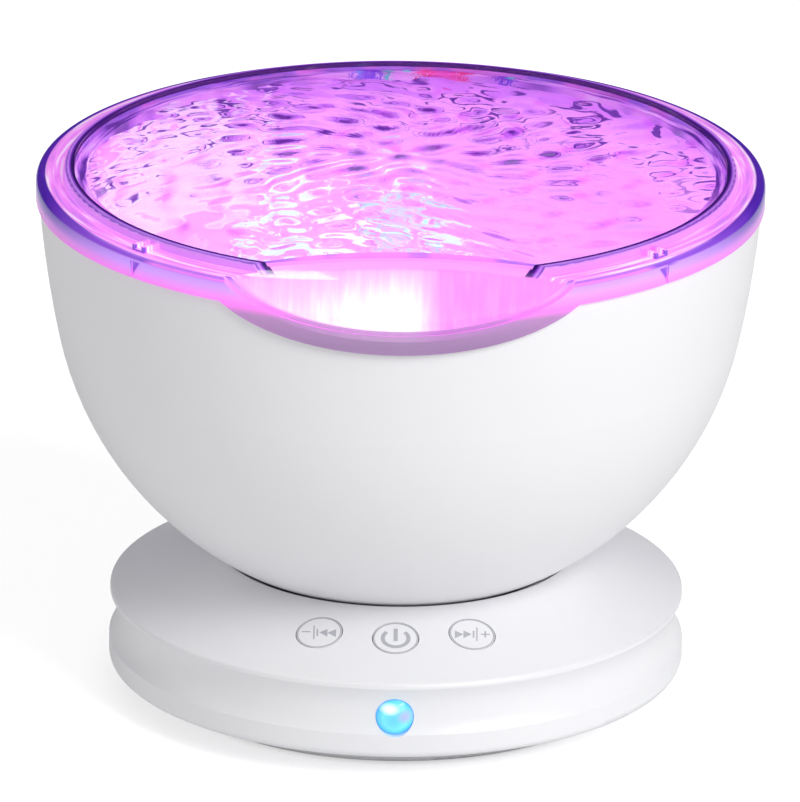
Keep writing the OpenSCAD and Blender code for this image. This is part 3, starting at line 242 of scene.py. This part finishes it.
# Switch board and front board
# Three tactile switches stand on a green board that hangs from the top cover by two screws.
# The front board carries the infrared receiver and the blue lamp behind the window.
lamp_blue = moulded("blue_lamp_epoxy", "#8FDCFF", "#7CCBFF", roughness=0.15)
dress(zinc, "key_board_screws")
dress(black_nylon, "key_switches", "ir_receiver")
dress(black_nylon, "power_plunger", "previous_plunger", "next_plunger")
dress(lamp_blue, "indicator_led")

# Top cover and tilt clamp
# The sloping top of the base is satin white ABS with the bowl's dish in its middle.
# A hollow steel stem through the dish draws a curved shoe against the bowl by a nut and a rubber bush.
felt = moulded("white_felt", "#DCDCE0", "#D0D0D5", roughness=0.9, grain=0.5, depth=0.05)
dress(white_abs, "base_top_cover")
dress(felt, "friction_ring")
dress(zinc, "tilt_stem", "tilt_nut")
dress(plain_white, "tilt_shoe")
dress(rubber, "tilt_bush")

# Buttons and their printed signs
# The three round keys are satin white ABS, flush with the slope of the cover.
# Their signs are pad printed in light grey ink, turned a little towards the middle of the arc, each
# inside a thin printed ring.
dress(white_abs, "power_button", "previous_button", "next_button")

press = next(j["axis"] for j in frame["joints"] if j["name"] == "power_press")
slope = math.asin(press[1])
edge_height = 1 * mm
cover_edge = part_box("base_side_shell")[1].z + edge_height
cover_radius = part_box("base_top_cover")[1].x
face_tolerance = 0.1 * mm
ink_lift = 0.02 * mm
ink_thickness = 0.06 * mm
sign_turn = math.radians(11)
ring_inner = 4.32
ring_width = 0.28
ring_points = 96
ink = moulded("grey_pad_ink", "#BBBBC1", "#B2B2B9", roughness=0.5)


def slope_height(x, y):
    """Height of the cover's slope."""
    return cover_edge + (cover_radius - math.hypot(x, y)) * math.tan(slope)


def bar(x, y, width, height):
    """Upright or flat stroke, in millimetres from the key's middle."""
    bpy.ops.mesh.primitive_plane_add(size=1, location=(x, y, 0))
    bpy.context.object.scale = (width, height, 1)
    return bpy.context.object


def arrow(x, length, height, way):
    """Triangle whose base stands at x and which points right for a way of 1, or left for -1."""
    middle = x + way * length / 3
    bpy.ops.mesh.primitive_circle_add(vertices=3, fill_type="NGON", location=(middle, 0, 0),
                                      rotation=(0, 0, -way * math.pi / 2))
    bpy.context.object.scale = (height / math.sqrt(3), length / 1.5, 1)
    return bpy.context.object


def open_ring(inner, width, gap):
    """Ring that is open at the top by a gap of an angle to each side."""
    bpy.ops.mesh.primitive_circle_add(vertices=ring_points, radius=inner)
    ring = bpy.context.object
    for edge in ring.data.edges:
        edge.select = False
    for vertex in ring.data.vertices:
        vertex.select = abs(math.atan2(vertex.co.x, vertex.co.y)) < gap
    bpy.ops.object.mode_set(mode="EDIT")
    bpy.ops.mesh.select_mode(type="VERT")
    bpy.ops.mesh.delete(type="VERT")
    bpy.ops.mesh.select_all(action="SELECT")
    bpy.ops.mesh.extrude_region_move()
    grow = (inner + width) / inner
    bpy.ops.transform.resize(value=(grow, grow, 1), center_override=(0, 0, 0))
    bpy.ops.object.mode_set(mode="OBJECT")
    return ring


def print_sign(name, key, body, turn, lean, strokes):
    """Joins strokes to one sign and lays it on a key's face as a film of ink. Its lines are turned in
    plan, and its uprights lean, by an angle each."""
    bpy.ops.object.select_all(action="DESELECT")
    for stroke in strokes:
        stroke.select_set(True)
    bpy.context.view_layer.objects.active = strokes[0]
    bpy.ops.object.transform_apply(location=True, rotation=True, scale=True)
    bpy.ops.object.join()
    sign = bpy.context.object
    sign.name = name
    bpy.ops.object.mode_set(mode="EDIT")
    bpy.ops.mesh.select_all(action="SELECT")
    bpy.ops.mesh.subdivide(number_cuts=1)
    bpy.ops.object.mode_set(mode="OBJECT")
    face = [v.co for v in frame["nodes"][key].data.vertices
            if abs(v.co.z - slope_height(v.co.x, v.co.y)) < face_tolerance]
    middle = [(min(p[i] for p in face) + max(p[i] for p in face)) / 2 for i in (0, 1)]
    for vertex in sign.data.vertices:
        across, up, _ = vertex.co * mm
        up *= math.cos(slope)
        x = middle[0] + across * math.cos(turn) - up * math.sin(lean)
        y = middle[1] + across * math.sin(turn) + up * math.cos(lean)
        vertex.co = (x, y, slope_height(x, y) + ink_lift)
    for polygon in sign.data.polygons:
        polygon.select = polygon.normal.z < 0
    bpy.ops.object.mode_set(mode="EDIT")
    bpy.ops.mesh.flip_normals()
    bpy.ops.object.mode_set(mode="OBJECT")
    film = sign.modifiers.new("film", "SOLIDIFY")
    film.thickness = ink_thickness
    film.offset = 1
    bpy.ops.object.modifier_apply(modifier="film")
    sign.data.materials.append(ink)
    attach(sign, body)


print_sign("power_sign", "power_button", "power_key", turn=0, lean=0,
           strokes=[open_ring(2.2, 0.85, math.radians(42)), bar(0, 1.0, 0.85, 3.8)])
print_sign("previous_sign", "previous_button", "previous_key", turn=-sign_turn, lean=0,
           strokes=[bar(-2.75, 0.2, 1.8, 0.35), bar(-1.1, 0, 0.28, 4.3), bar(-0.4, 0, 0.35, 2.2),
                    arrow(1.7, 1.7, 2.4, -1), arrow(3.5, 1.8, 2.4, -1)])
print_sign("next_sign", "next_button", "next_key", turn=sign_turn, lean=0,
           strokes=[arrow(-3.6, 1.8, 2.4, 1), arrow(-1.8, 1.7, 2.4, 1), bar(0.3, 0, 0.35, 2.2),
                    bar(1.0, 0, 0.28, 4.3), bar(2.75, 0, 1.9, 0.35), bar(2.75, 0, 0.35, 2.0)])
for name in ("power", "previous", "next"):
    low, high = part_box(name + "_button")
    heading = math.atan2(low.x + high.x, -low.y - high.y)
    print_sign(name + "_ring", name + "_button", name + "_key", turn=heading, lean=heading,
               strokes=[open_ring(ring_inner, ring_width, gap=0)])

# Bowl
# One thick moulding of satin white ABS: a ball below, flaring to a shoulder that carries the lid.
# Its inside is the lamp's reflector: the lamps' pink light on it is painted in as a glow, with painted
# violet shade close under the rim.
ball_middle = [v / mm for v in next(j["pos_m"] for j in frame["joints"] if j["name"] == "bowl_tilt")]
# Painted dark dashes start at this height on the inner wall: painted shade, which the lens's ripples show
# as dark marks.
painted_dash_height = 91
# Painted lamp light on the inner wall by height, paler in torn pools, with painted violet shade close under
# the rim.
wall_light = ((76, "#FFC6FF"), (90, "#FFC4FF"), (97, "#FFC8FF"), (102, "#FAB8FC"), (105, "#DE98F4"))
wall_light_pools = ((-44, 46, 87, 26, 0.52, "#FFF4FF"), (-23, 60, 84, 9, 0.9, "#D0FFFF"),
              (1, 64, 81, 9, 0.9, "#D0FFFF"), (-11, 62, 83, 8, 0.9, "#FFFFFF"),
              (-15, 62, 91, 5, 0.9, "#FFFFFF"))


def torn_pool(tree, place, ragged, at, radius, fade):
    """Share of a pool of light round a place, with an edge that a noise tears by adding about a radius to
    each point's distance. The share goes from none to all between two such distances, in radii."""
    off = add_node(tree, "VectorMath", {0: place, 1: at}, operation="DISTANCE").outputs["Value"]
    torn = add_node(tree, "Math", {0: ragged, 1: 2 * radius, 2: off}, operation="MULTIPLY_ADD").outputs[0]
    return add_node(tree, "MapRange", {0: torn, 1: fade[0] * radius, 2: fade[1] * radius}).outputs[0]


def lit_inside(name, outside, stops, spots, strength):
    """White moulding whose faces that look at the bowl's middle glow with painted lamp light: banded by
    height, with torn painted pools of light, each a place, a radius, a strength and a colour, and high up
    with painted dark dashes, the shade that the ripples throw back."""
    tears_per_mm = 0.4
    painted_dashes_per_mm = (0.14, 0.14, 0.7)
    painted_dash_fade = 5
    grains_per_mm = 2.2
    grain_depth = 0.004
    material, tree, shader, place = start_material(name)
    normal = add_node(tree, "TexCoord", {}).outputs["Normal"]
    out = add_node(tree, "VectorMath", {0: place, 1: ball_middle}, operation="SUBTRACT").outputs[0]
    facing = add_node(tree, "VectorMath", {0: out, 1: normal}, operation="DOT_PRODUCT").outputs["Value"]
    inward = add_node(tree, "Math", {0: facing, 1: 0}, operation="LESS_THAN").outputs[0]
    height = add_node(tree, "SeparateXYZ", {0: place}).outputs[2]
    lit_from = stops[0][0] - 2
    raised = add_node(tree, "Math", {0: height, 1: lit_from}, operation="GREATER_THAN").outputs[0]
    inside = add_node(tree, "Math", {0: inward, 1: raised}, operation="MULTIPLY").outputs[0]

    glow = banded(tree, height, stops)
    power = strength
    ragged = add_node(tree, "TexNoise", {"Vector": place, "Scale": tears_per_mm, "Detail": 3}).outputs[0]
    for *at, radius, bright, colour in spots:
        near = torn_pool(tree, place, ragged, at, radius, fade=(2, 1.8))
        glow = blend(tree, near, glow, colour)
        power = add_node(tree, "Mix", {0: near, 2: power, 3: bright}).outputs[0]
    # Painted shade: dark violet dashes high on the wall.
    flat = add_node(tree, "VectorMath", {0: place, 1: painted_dashes_per_mm}, operation="MULTIPLY").outputs[0]
    painted_dash = add_node(tree, "TexNoise", {"Vector": flat, "Scale": 1, "Detail": 1}).outputs[0]
    dark = add_node(tree, "MapRange", {0: painted_dash, 1: 0.44, 2: 0.38}).outputs[0]
    high = add_node(tree, "MapRange", {0: height, 1: painted_dash_height, 2: painted_dash_height + painted_dash_fade}).outputs[0]
    painted_dashes = add_node(tree, "Math", {0: dark, 1: high}, operation="MULTIPLY").outputs[0]
    glow = blend(tree, painted_dashes, glow, "#4A1F80")
    power = add_node(tree, "Math", {0: inside, 1: power}, operation="MULTIPLY").outputs[0]

    grain = add_node(tree, "TexNoise", {"Vector": place, "Scale": grains_per_mm, "Detail": 1}).outputs[0]
    gloss = add_node(tree, "MapRange", {0: grain, 3: 0.32, 4: 0.4}).outputs[0]
    bump = add_node(tree, "Bump", {"Height": grain, "Distance": grain_depth * mm}).outputs[0]
    tree.links.new(blend(tree, inside, outside, glow), shader.inputs["Base Color"])
    tree.links.new(glow, shader.inputs["Emission Color"])
    tree.links.new(power, shader.inputs["Emission Strength"])
    tree.links.new(gloss, shader.inputs["Roughness"])
    tree.links.new(bump, shader.inputs["Normal"])
    return material


dress(lit_inside("lit_white_abs", "#EFEFF1", wall_light, wall_light_pools, strength=0.52), "bowl")

# Reflector tray and lamps
# A white tray screwed to the bowl's ledge closes off the drive and throws the light up; the lamps' light on
# it is painted in as a glow.
# Twelve coloured lamps stand on a ring-shaped white board in its middle.
# Painted lamp light on the tray: pink, with pale torn pools.
tray_light = ((70, "#FFC8FF"), (80, "#FFC8FF"), (84, "#FFC4FF"))
tray_light_pools = ((-24, 42, 77, 10, 0.9, "#D0FFFF"), (3, 46, 77, 10, 0.9, "#D0FFFF"),
              (-12, 44, 77, 8, 0.9, "#FFFFFF"))
# The white lamp board's pink patches are painted lamp light.
board_painted_light = ("#FFA8FF", "#FFC0FF", "#FFE4FF")


def lamp_lit(name, colour, strength):
    """A lamp, which is clear epoxy over a glowing chip, or bright steel close to the lamps, whose light on
    it is painted in as a glow: unevenly bright."""
    spots_per_mm = 0.8
    swing = 0.3
    material, tree, shader, place = start_material(name)
    spots = add_node(tree, "TexNoise", {"Vector": place, "Scale": spots_per_mm}).outputs[0]
    glow = add_node(tree, "MapRange", {0: spots, 3: (1 - swing) * strength, 4: (1 + swing) * strength})
    tree.links.new(glow.outputs[0], shader.inputs["Emission Strength"])
    shader.inputs["Base Color"].default_value = linear(colour)
    shader.inputs["Emission Color"].default_value = linear(colour)
    shader.inputs["Roughness"].default_value = 0.15
    return material


def lit_patches(name, width, colours, strength, roughness=0.5, detail=2, levels=(0.4, 0.5, 0.58)):
    """Pale piece glowing with painted lamp light: patches of three colours, as wide as a size in
    millimetres.
    Each colour stands at one level of the noise."""
    material, tree, shader, place = start_material(name)
    patch = add_node(tree, "TexNoise", {"Vector": place, "Scale": 1 / width, "Detail": detail}).outputs[0]
    tint = banded(tree, patch, tuple(zip(levels, colours)))
    tree.links.new(tint, shader.inputs["Base Color"])
    tree.links.new(tint, shader.inputs["Emission Color"])
    shader.inputs["Emission Strength"].default_value = strength
    shader.inputs["Roughness"].default_value = roughness
    return material


lit_tray = lit_inside("lit_white_polystyrene", "#E8E8EA", tray_light, tray_light_pools, strength=0.48)
dress(lit_tray, "reflector_tray")
dress(lit_patches("lit_lamp_board", 14, board_painted_light, strength=0.3), "led_board")
dress(lamp_lit("red_lamp_epoxy", "#FFC8E8", strength=0.9), "red_lamps")
dress(lamp_lit("green_lamp_epoxy", "#D8FFFF", strength=0.9), "green_lamps")
dress(lamp_lit("blue_lamp_epoxy_lit", "#FFFFFF", strength=0.9), "blue_lamps")

# Drive
# A small geared motor under the tray turns the disc's spindle through two acetal gears.
# The spindle runs in a bush in the tray and in a boss of the steel bracket. Its steel, the bush and
# the tray's screws glow with painted lamp light.
acetal = moulded("natural_acetal", "#F2EFE6", "#EAE6DA", roughness=0.4)
bright_steel = lamp_lit("bright_steel_in_lamp_light", "#F4E8FF", strength=0.5)
dress(zinc, "motor_bracket", "bracket_screws", "gear_motor", "motor_screws", "motor_shaft")
dress(bright_steel, "disc_spindle", "spindle_bush", "tray_screws")
dress(acetal, "motor_pinion", "disc_gear")

# Wave disc
# The turning disc is clear moulded polycarbonate with shallow swells, so that the light wanders.
# It bends light only weakly here, so that it hardly shows through the lens above it.
# Its hub and cap are of the same plastic and glow with painted light, so that they throw no shadow.
tint_width = 25
hub_painted_light = ("#FFB8FF", "#FFE0FF", "#D0FFFF")


def clear_plastic(name, ior, roughness):
    """Clear moulding whose surface is not quite even, and what is needed to give it a tint."""
    wave_width = 6
    wave_depth = 0.04
    material, tree, shader, place = start_material(name)
    uneven = add_node(tree, "TexNoise", {"Vector": place, "Scale": 1 / wave_width, "Detail": 0}).outputs[0]
    bump = add_node(tree, "Bump", {"Height": uneven, "Distance": wave_depth * mm})
    tree.links.new(bump.outputs[0], shader.inputs["Normal"])
    shader.inputs["Transmission Weight"].default_value = 1
    shader.inputs["Roughness"].default_value = roughness
    shader.inputs["IOR"].default_value = ior
    return material, tree, shader, place


clear_disc, tree, shader, place = clear_plastic("clear_polycarbonate", ior=1.06, roughness=0.02)
drift = add_node(tree, "TexNoise", {"Vector": place, "Scale": 1 / tint_width, "Detail": 1}).outputs[0]
tree.links.new(blend(tree, drift, "#FFF6FF", "#FFFFFF"), shader.inputs["Base Color"])
dress(clear_disc, "wave_disc")
dress(lit_patches("lit_polycarbonate", 3, hub_painted_light, strength=0.5), "disc_hub", "hub_cap")

# Lid
# The rim is clear polystyrene, its light from inside painted in as a glow, with a skirt over the bowl's
# shoulder, a bead round the lens and a scoop at the front for the fingers. Four catches hold it on the
# bowl.
lens_seat = 67
bead_end = 69.6
skirt_start = 72.4
scoop_start = -54
# Painted light on the lens seat: streaks of light and violet shade, and coloured sparks of the lamps at the
# back of the rim.
seat_light_streaks = ((0.38, "#43207C"), (0.46, "#C07CE8"), (0.56, "#FFB4FF"), (0.7, "#FFE8FF"))
rim_sparks = ((9, 66, 110, 8, "#FF50B0"), (-7, 65.5, 110, 5, "#7C50E8"), (22, 62.5, 110, 4, "#6040D0"),
              (5, 66, 110, 3, "#FF2850"), (13, 65, 110, 3, "#FF3C60"), (-3, 65.5, 110, 1.8, "#10E8B0"),
              (1, 66.5, 110.5, 1.3, "#48F0C8"), (23, 62.5, 110, 1.8, "#28D8D0"),
              (-9, 65, 110, 1.4, "#58C0FF"))
# Painted shade and highlight lines along the bead: dark violet by the lens seat, then pale and violet
# lines.
bead_shade_and_highlight_lines = ((lens_seat, "#240848"), (67.8, "#34106A"), (68.1, "#9048D0"), (68.4, "#CC8CF2"),
              (68.8, "#7A3CC0"), (69, "#E094F8"), (bead_end, "#FFB4FF"))
# Painted streaks of pink and white light on the flat ring.
flat_light_streaks = ((0.3, "#C488EC"), (0.42, "#F490F8"), (0.54, "#FCA8FC"), (0.64, "#FFECFF"))
# Painted light on the skirt by height: at the front mauve shade at the foot, pink, then lilac and violet at
# the top edge; at the sides pink below and dark violet above.
skirt_front_light = ((100, "#90769A"), (104.6, "#A884B0"), (106.2, "#F884EC"), (107.4, "#F094F4"),
               (109, "#D4A4FC"), (110.6, "#C898F8"), (111.6, "#8048C8"))
skirt_side_light = ((106, "#E078DC"), (107.8, "#C07AD0"), (109, "#7A40B4"), (109.8, "#42209C"),
              (111.6, "#2E1080"))
# Painted light in the scoop by x: rising to its brightest just right of the middle, then dim on its right;
# its pinks run up to white.
scoop_light_levels = ((-35, "#B3B3B3"), (-18, "#CBCBCB"), (3, "#E1E1E1"), (9, "#6C6C6C"), (35, "#595959"))
scoop_pinks = ((0.3, "#EC90F0"), (0.45, "#F2A6F4"), (0.65, "#F6C0F8"), (0.8, "#FBE0FB"), (1, "#FFFFFF"))


def lit_lid(name):
    """Clear polystyrene glowing with painted lamp light: painted streaks of pink light on the flats, with
    painted violet shade lines and pale highlights along the bead and the rim. The skirt's painted light
    goes from lilac to pink, to violet at the sides and to mauve shade below the scoop. The scoop is painted
    bright up to its middle and dimmer on its right."""
    streaks_round = 3.5
    tears_per_mm = 1.8
    light_streaks_per_mm = (0.7, 0.06, 0.06)
    light_streak_share = 0.45
    material, tree, shader, place = start_material(name)
    x, y, z = add_node(tree, "SeparateXYZ", {0: place}).outputs
    normal = add_node(tree, "TexCoord", {}).outputs["Normal"]
    up = add_node(tree, "SeparateXYZ", {0: normal}).outputs[2]
    level = add_node(tree, "VectorMath", {0: place, 1: (1, 1, 0)}, operation="MULTIPLY").outputs[0]
    reach = add_node(tree, "VectorMath", {0: level}, operation="LENGTH").outputs["Value"]
    ahead = add_node(tree, "VectorMath", {0: level}, operation="NORMALIZE").outputs[0]
    forward = add_node(tree, "VectorMath", {0: ahead, 1: (0, -1, 0)}, operation="DOT_PRODUCT")
    front = forward.outputs["Value"]
    to_side = add_node(tree, "MapRange", {0: front, 1: 0.75, 2: 0.2},
                       interpolation_type="SMOOTHSTEP").outputs[0]

    turned = add_node(tree, "VectorMath", {0: ahead, "Scale": streaks_round}, operation="SCALE").outputs[0]
    outward = add_node(tree, "CombineXYZ", {2: reach}).outputs[0]
    curled = add_node(tree, "VectorMath", {0: turned, 1: outward}).outputs[0]
    streak = add_node(tree, "TexNoise", {"Vector": curled, "Scale": 1, "Detail": 2}).outputs[0]
    seat = banded(tree, streak, seat_light_streaks)
    ragged = add_node(tree, "TexNoise", {"Vector": place, "Scale": tears_per_mm, "Detail": 3}).outputs[0]
    for *at, radius, colour in rim_sparks:
        near = torn_pool(tree, place, ragged, at, radius, fade=(1.8, 1.5))
        seat = blend(tree, near, seat, colour)
    # The seat's front is painted plain pink light.
    at_front = add_node(tree, "MapRange", {0: front, 1: 0.1, 2: 0.4}).outputs[0]
    seat = blend(tree, at_front, seat, "#FAA4FC")
    past_seat = add_node(tree, "MapRange", {0: reach, 1: lens_seat - 0.1, 2: lens_seat + 0.1}).outputs[0]
    past_bead = add_node(tree, "MapRange", {0: reach, 1: bead_end - 0.4, 2: bead_end}).outputs[0]
    bead = banded(tree, reach, bead_shade_and_highlight_lines)
    flat = banded(tree, streak, flat_light_streaks)
    across = blend(tree, past_seat, seat, blend(tree, past_bead, bead, flat))

    # A painted violet shade line along the rim's rounded edge, paler at the front and darker at the sides.
    shade_line_start = add_node(tree, "MapRange", {0: to_side, 3: 74.2, 4: 72.9}).outputs[0]
    past_shade_line = add_node(tree, "Math", {0: reach, 1: shade_line_start}, operation="SUBTRACT").outputs[0]
    on_shade_line = add_node(tree, "MapRange", {0: past_shade_line, 1: 0, 2: 0.3}).outputs[0]
    shade_lined = blend(tree, on_shade_line, across, blend(tree, to_side, "#8A58D0", "#4A22A4"))
    skirt = blend(tree, to_side, banded(tree, z, skirt_front_light), banded(tree, z, skirt_side_light))
    steep = add_node(tree, "MapRange", {0: up, 1: 0.4, 2: 0.15}).outputs[0]
    outer = add_node(tree, "MapRange", {0: reach, 1: skirt_start, 2: skirt_start + 0.6}).outputs[0]
    on_skirt = add_node(tree, "Math", {0: steep, 1: outer}, operation="MULTIPLY").outputs[0]
    rim = blend(tree, on_skirt, shade_lined, skirt)

    # Painted upright streaks of light in the scoop, brighter lower down.
    upright = add_node(tree, "VectorMath", {0: place, 1: light_streaks_per_mm}, operation="MULTIPLY").outputs[0]
    light_streak = add_node(tree, "TexNoise", {"Vector": upright, "Scale": 1, "Detail": 3}).outputs[0]
    deep = add_node(tree, "MapRange", {0: z, 1: 110.5, 2: 104, 3: 0.5}).outputs[0]
    from_left = banded(tree, x, scoop_light_levels)
    bright = add_node(tree, "Math", {0: from_left, 1: deep}, operation="MULTIPLY").outputs[0]
    shine = add_node(tree, "Math", {0: light_streak, 1: light_streak_share, 2: bright}, operation="MULTIPLY_ADD").outputs[0]
    hollow = banded(tree, shine, scoop_pinks)
    low = add_node(tree, "MapRange", {0: z, 1: 111.2, 2: 110.6}).outputs[0]
    ahead_only = add_node(tree, "MapRange", {0: y, 1: scoop_start, 2: scoop_start - 2}).outputs[0]
    dipped = add_node(tree, "Math", {0: low, 1: ahead_only}, operation="MULTIPLY").outputs[0]
    lip = add_node(tree, "MapRange", {0: up, 1: 0.15, 2: 0.4}).outputs[0]
    on_lip = add_node(tree, "Math", {0: lip, 1: dipped}, operation="MULTIPLY").outputs[0]
    within = add_node(tree, "MapRange", {0: reach, 1: 74, 2: 72.6}).outputs[0]
    scooped = add_node(tree, "Math", {0: within, 1: dipped}, operation="MULTIPLY").outputs[0]
    colour = blend(tree, scooped, blend(tree, on_lip, rim, "#FA90F8"), hollow)
    # The lid glows with painted lamp light.
    tree.links.new(colour, shader.inputs["Base Color"])
    tree.links.new(colour, shader.inputs["Emission Color"])
    shader.inputs["Emission Strength"].default_value = 0.3
    shader.inputs["Transmission Weight"].default_value = 0.25
    shader.inputs["Roughness"].default_value = 0.08
    shader.inputs["IOR"].default_value = 1.59
    return material


dress(lit_lid("lit_clear_polystyrene"), "lid_frame")

# Wave lens
# The cover lens is clear acrylic, smooth below and rippled above like wind on water. It drops into the
# lid's seat and is welded there. Its slopes carry painted light, white where flat and violet where steep,
# over a faint painted violet glow, and its cut edge glows with painted light.
sharp_angle = math.radians(45)
merge_distance = 0.01 * mm
edge_upness = 0.3
slope_painted_light = ((0.97, "#D080F0"), (0.98, "#F0A0FC"), (0.988, "#FCCCFF"), (0.994, "#FFF2FF"), (1, "#FFFFFF"))
edge_painted_glow = ("#A874E8", "#C880F0", "#EC88EE")

lens = bpy.data.objects.new("rippled_lens", frame["nodes"]["wave_lens"].data.copy())
bpy.context.collection.objects.link(lens)
bpy.ops.object.select_all(action="DESELECT")
bpy.context.view_layer.objects.active = lens
lens.select_set(True)
bpy.ops.mesh.customdata_custom_splitnormals_clear()
bpy.ops.object.mode_set(mode="EDIT")
bpy.ops.mesh.select_all(action="SELECT")
bpy.ops.mesh.remove_doubles(threshold=merge_distance)
bpy.ops.mesh.select_all(action="DESELECT")
bpy.ops.mesh.select_mode(type="EDGE")
bpy.ops.mesh.edges_select_sharp(sharpness=sharp_angle)
bpy.ops.transform.edge_crease(value=1)
bpy.ops.object.mode_set(mode="OBJECT")
bpy.ops.object.shade_smooth_by_angle(angle=sharp_angle)
smooth = lens.modifiers.new("smooth", "SUBSURF")
smooth.levels = 2
smooth.render_levels = 2
bpy.ops.object.modifier_apply(modifier="smooth")

clear_acrylic, tree, shader, _ = clear_plastic("clear_acrylic", ior=1.19, roughness=0.01)
shader.inputs["Coat Weight"].default_value = 0.7
# A faint painted violet glow over the whole lens.
shader.inputs["Emission Color"].default_value = linear("#8A3CD0")
shader.inputs["Emission Strength"].default_value = 0.1
# Painted light by slope: white where the ripples lie flat, violet where they are steep.
normal = add_node(tree, "TexCoord", {}).outputs["Normal"]
upness = add_node(tree, "SeparateXYZ", {0: normal}).outputs[2]
level = add_node(tree, "Math", {0: upness}, operation="ABSOLUTE").outputs[0]
tree.links.new(banded(tree, level, slope_painted_light), shader.inputs["Base Color"])
# The cut edge glows with painted light.
cut_edge = lit_patches("lit_acrylic_edge", 9, edge_painted_glow, strength=0.35, roughness=0.15, detail=1,
                       levels=(0.4, 0.5, 0.6))
lens.data.materials.clear()
lens.data.materials.append(clear_acrylic)
lens.data.materials.append(cut_edge)
for polygon in lens.data.polygons:
    polygon.material_index = int(abs(polygon.normal.z) < edge_upness)
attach(lens, "bowl")
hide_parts("wave_lens")

# Studio
# A white floor under an even white sky, with a broad lamp from the right and front and two weak fills.
# Two rings of dark violet felt stand round it: gloss shows the one, the ripples of the lens the other.
# The camera sees neither, only plain white, and the floor keeps the projector's shadow.
floor_size = 6
floor_lift = 0.55
sky_light = 0.46
flag_radius = 1.0
flag_height = 0.8
flags = (("grey_flag", "#4A2A70", "#40245F"), ("violet_flag", "#7A48B8", "#6C3EA8"))
lamps = (("key_lamp", (1.0, -1.1, 1.1), (0, 0, 0.07), 0.9, 0.61),
         ("left_fill", (-1.1, -0.15, 0.12), (0, 0, 0.02), 0.4, 0.08),
         ("low_fill", (-0.3, -1.3, 0.06), (0, 0, 0.02), 0.5, 0.04))

bpy.ops.mesh.primitive_plane_add(size=floor_size)
floor = bpy.context.object
floor.name = "studio_floor"
bpy.ops.object.mode_set(mode="EDIT")
bpy.ops.mesh.subdivide(number_cuts=4)
bpy.ops.object.mode_set(mode="OBJECT")
paper_white, tree, shader, _ = start_material("white_paper")
seen = add_node(tree, "LightPath", {})
lift = add_node(tree, "Math", {0: seen.outputs["Is Camera Ray"], 1: floor_lift}, operation="MULTIPLY")
tree.links.new(lift.outputs[0], shader.inputs["Emission Strength"])
shader.inputs["Emission Color"].default_value = (1, 1, 1, 1)
shader.inputs["Base Color"].default_value = linear("#F4F4F5")
shader.inputs["Roughness"].default_value = 0.9
shader.inputs["Specular IOR Level"].default_value = 0
floor.data.materials.append(paper_white)

sky = bpy.data.worlds.new("white_sky")
sky.use_nodes = True
tree = sky.node_tree
backdrop = tree.nodes["Background"]
seen = add_node(tree, "LightPath", {})
direct = add_node(tree, "Math", {0: seen.outputs["Is Camera Ray"], 1: seen.outputs["Is Glossy Ray"]},
                  operation="MAXIMUM")
plain = add_node(tree, "Math", {0: direct.outputs[0], 1: seen.outputs["Is Transmission Ray"]},
                 operation="MAXIMUM")
level = add_node(tree, "MapRange", {0: plain.outputs[0], 3: sky_light, 4: 1})
tree.links.new(level.outputs[0], backdrop.inputs["Strength"])
backdrop.inputs["Color"].default_value = (1, 1, 1, 1)
bpy.context.scene.world = sky

for name, colour, shade in flags:
    bpy.ops.mesh.primitive_cylinder_add(vertices=64, radius=flag_radius, depth=flag_height,
                                        end_fill_type="NOTHING", location=(0, 0, flag_height / 2))
    flag = bpy.context.object
    flag.name = name
    flag.visible_camera = False
    flag.visible_diffuse = False
    flag.visible_shadow = False
    flag.visible_glossy = name == "grey_flag"
    flag.visible_transmission = name == "violet_flag"
    flag.data.materials.append(moulded(name + "_felt", colour, shade, roughness=0.9))

for name, place, looks_at, size, share_of_white in lamps:
    away = Vector(looks_at) - Vector(place)
    turn = away.to_track_quat("-Z", "Y").to_euler()
    bpy.ops.object.light_add(type="AREA", location=place, rotation=turn)
    lamp = bpy.context.object
    lamp.name = name
    lamp.data.size = size
    lamp.data.energy = share_of_white * math.pi ** 2 * away.length_squared
bpy.context.scene.view_settings.view_transform = "Standard"
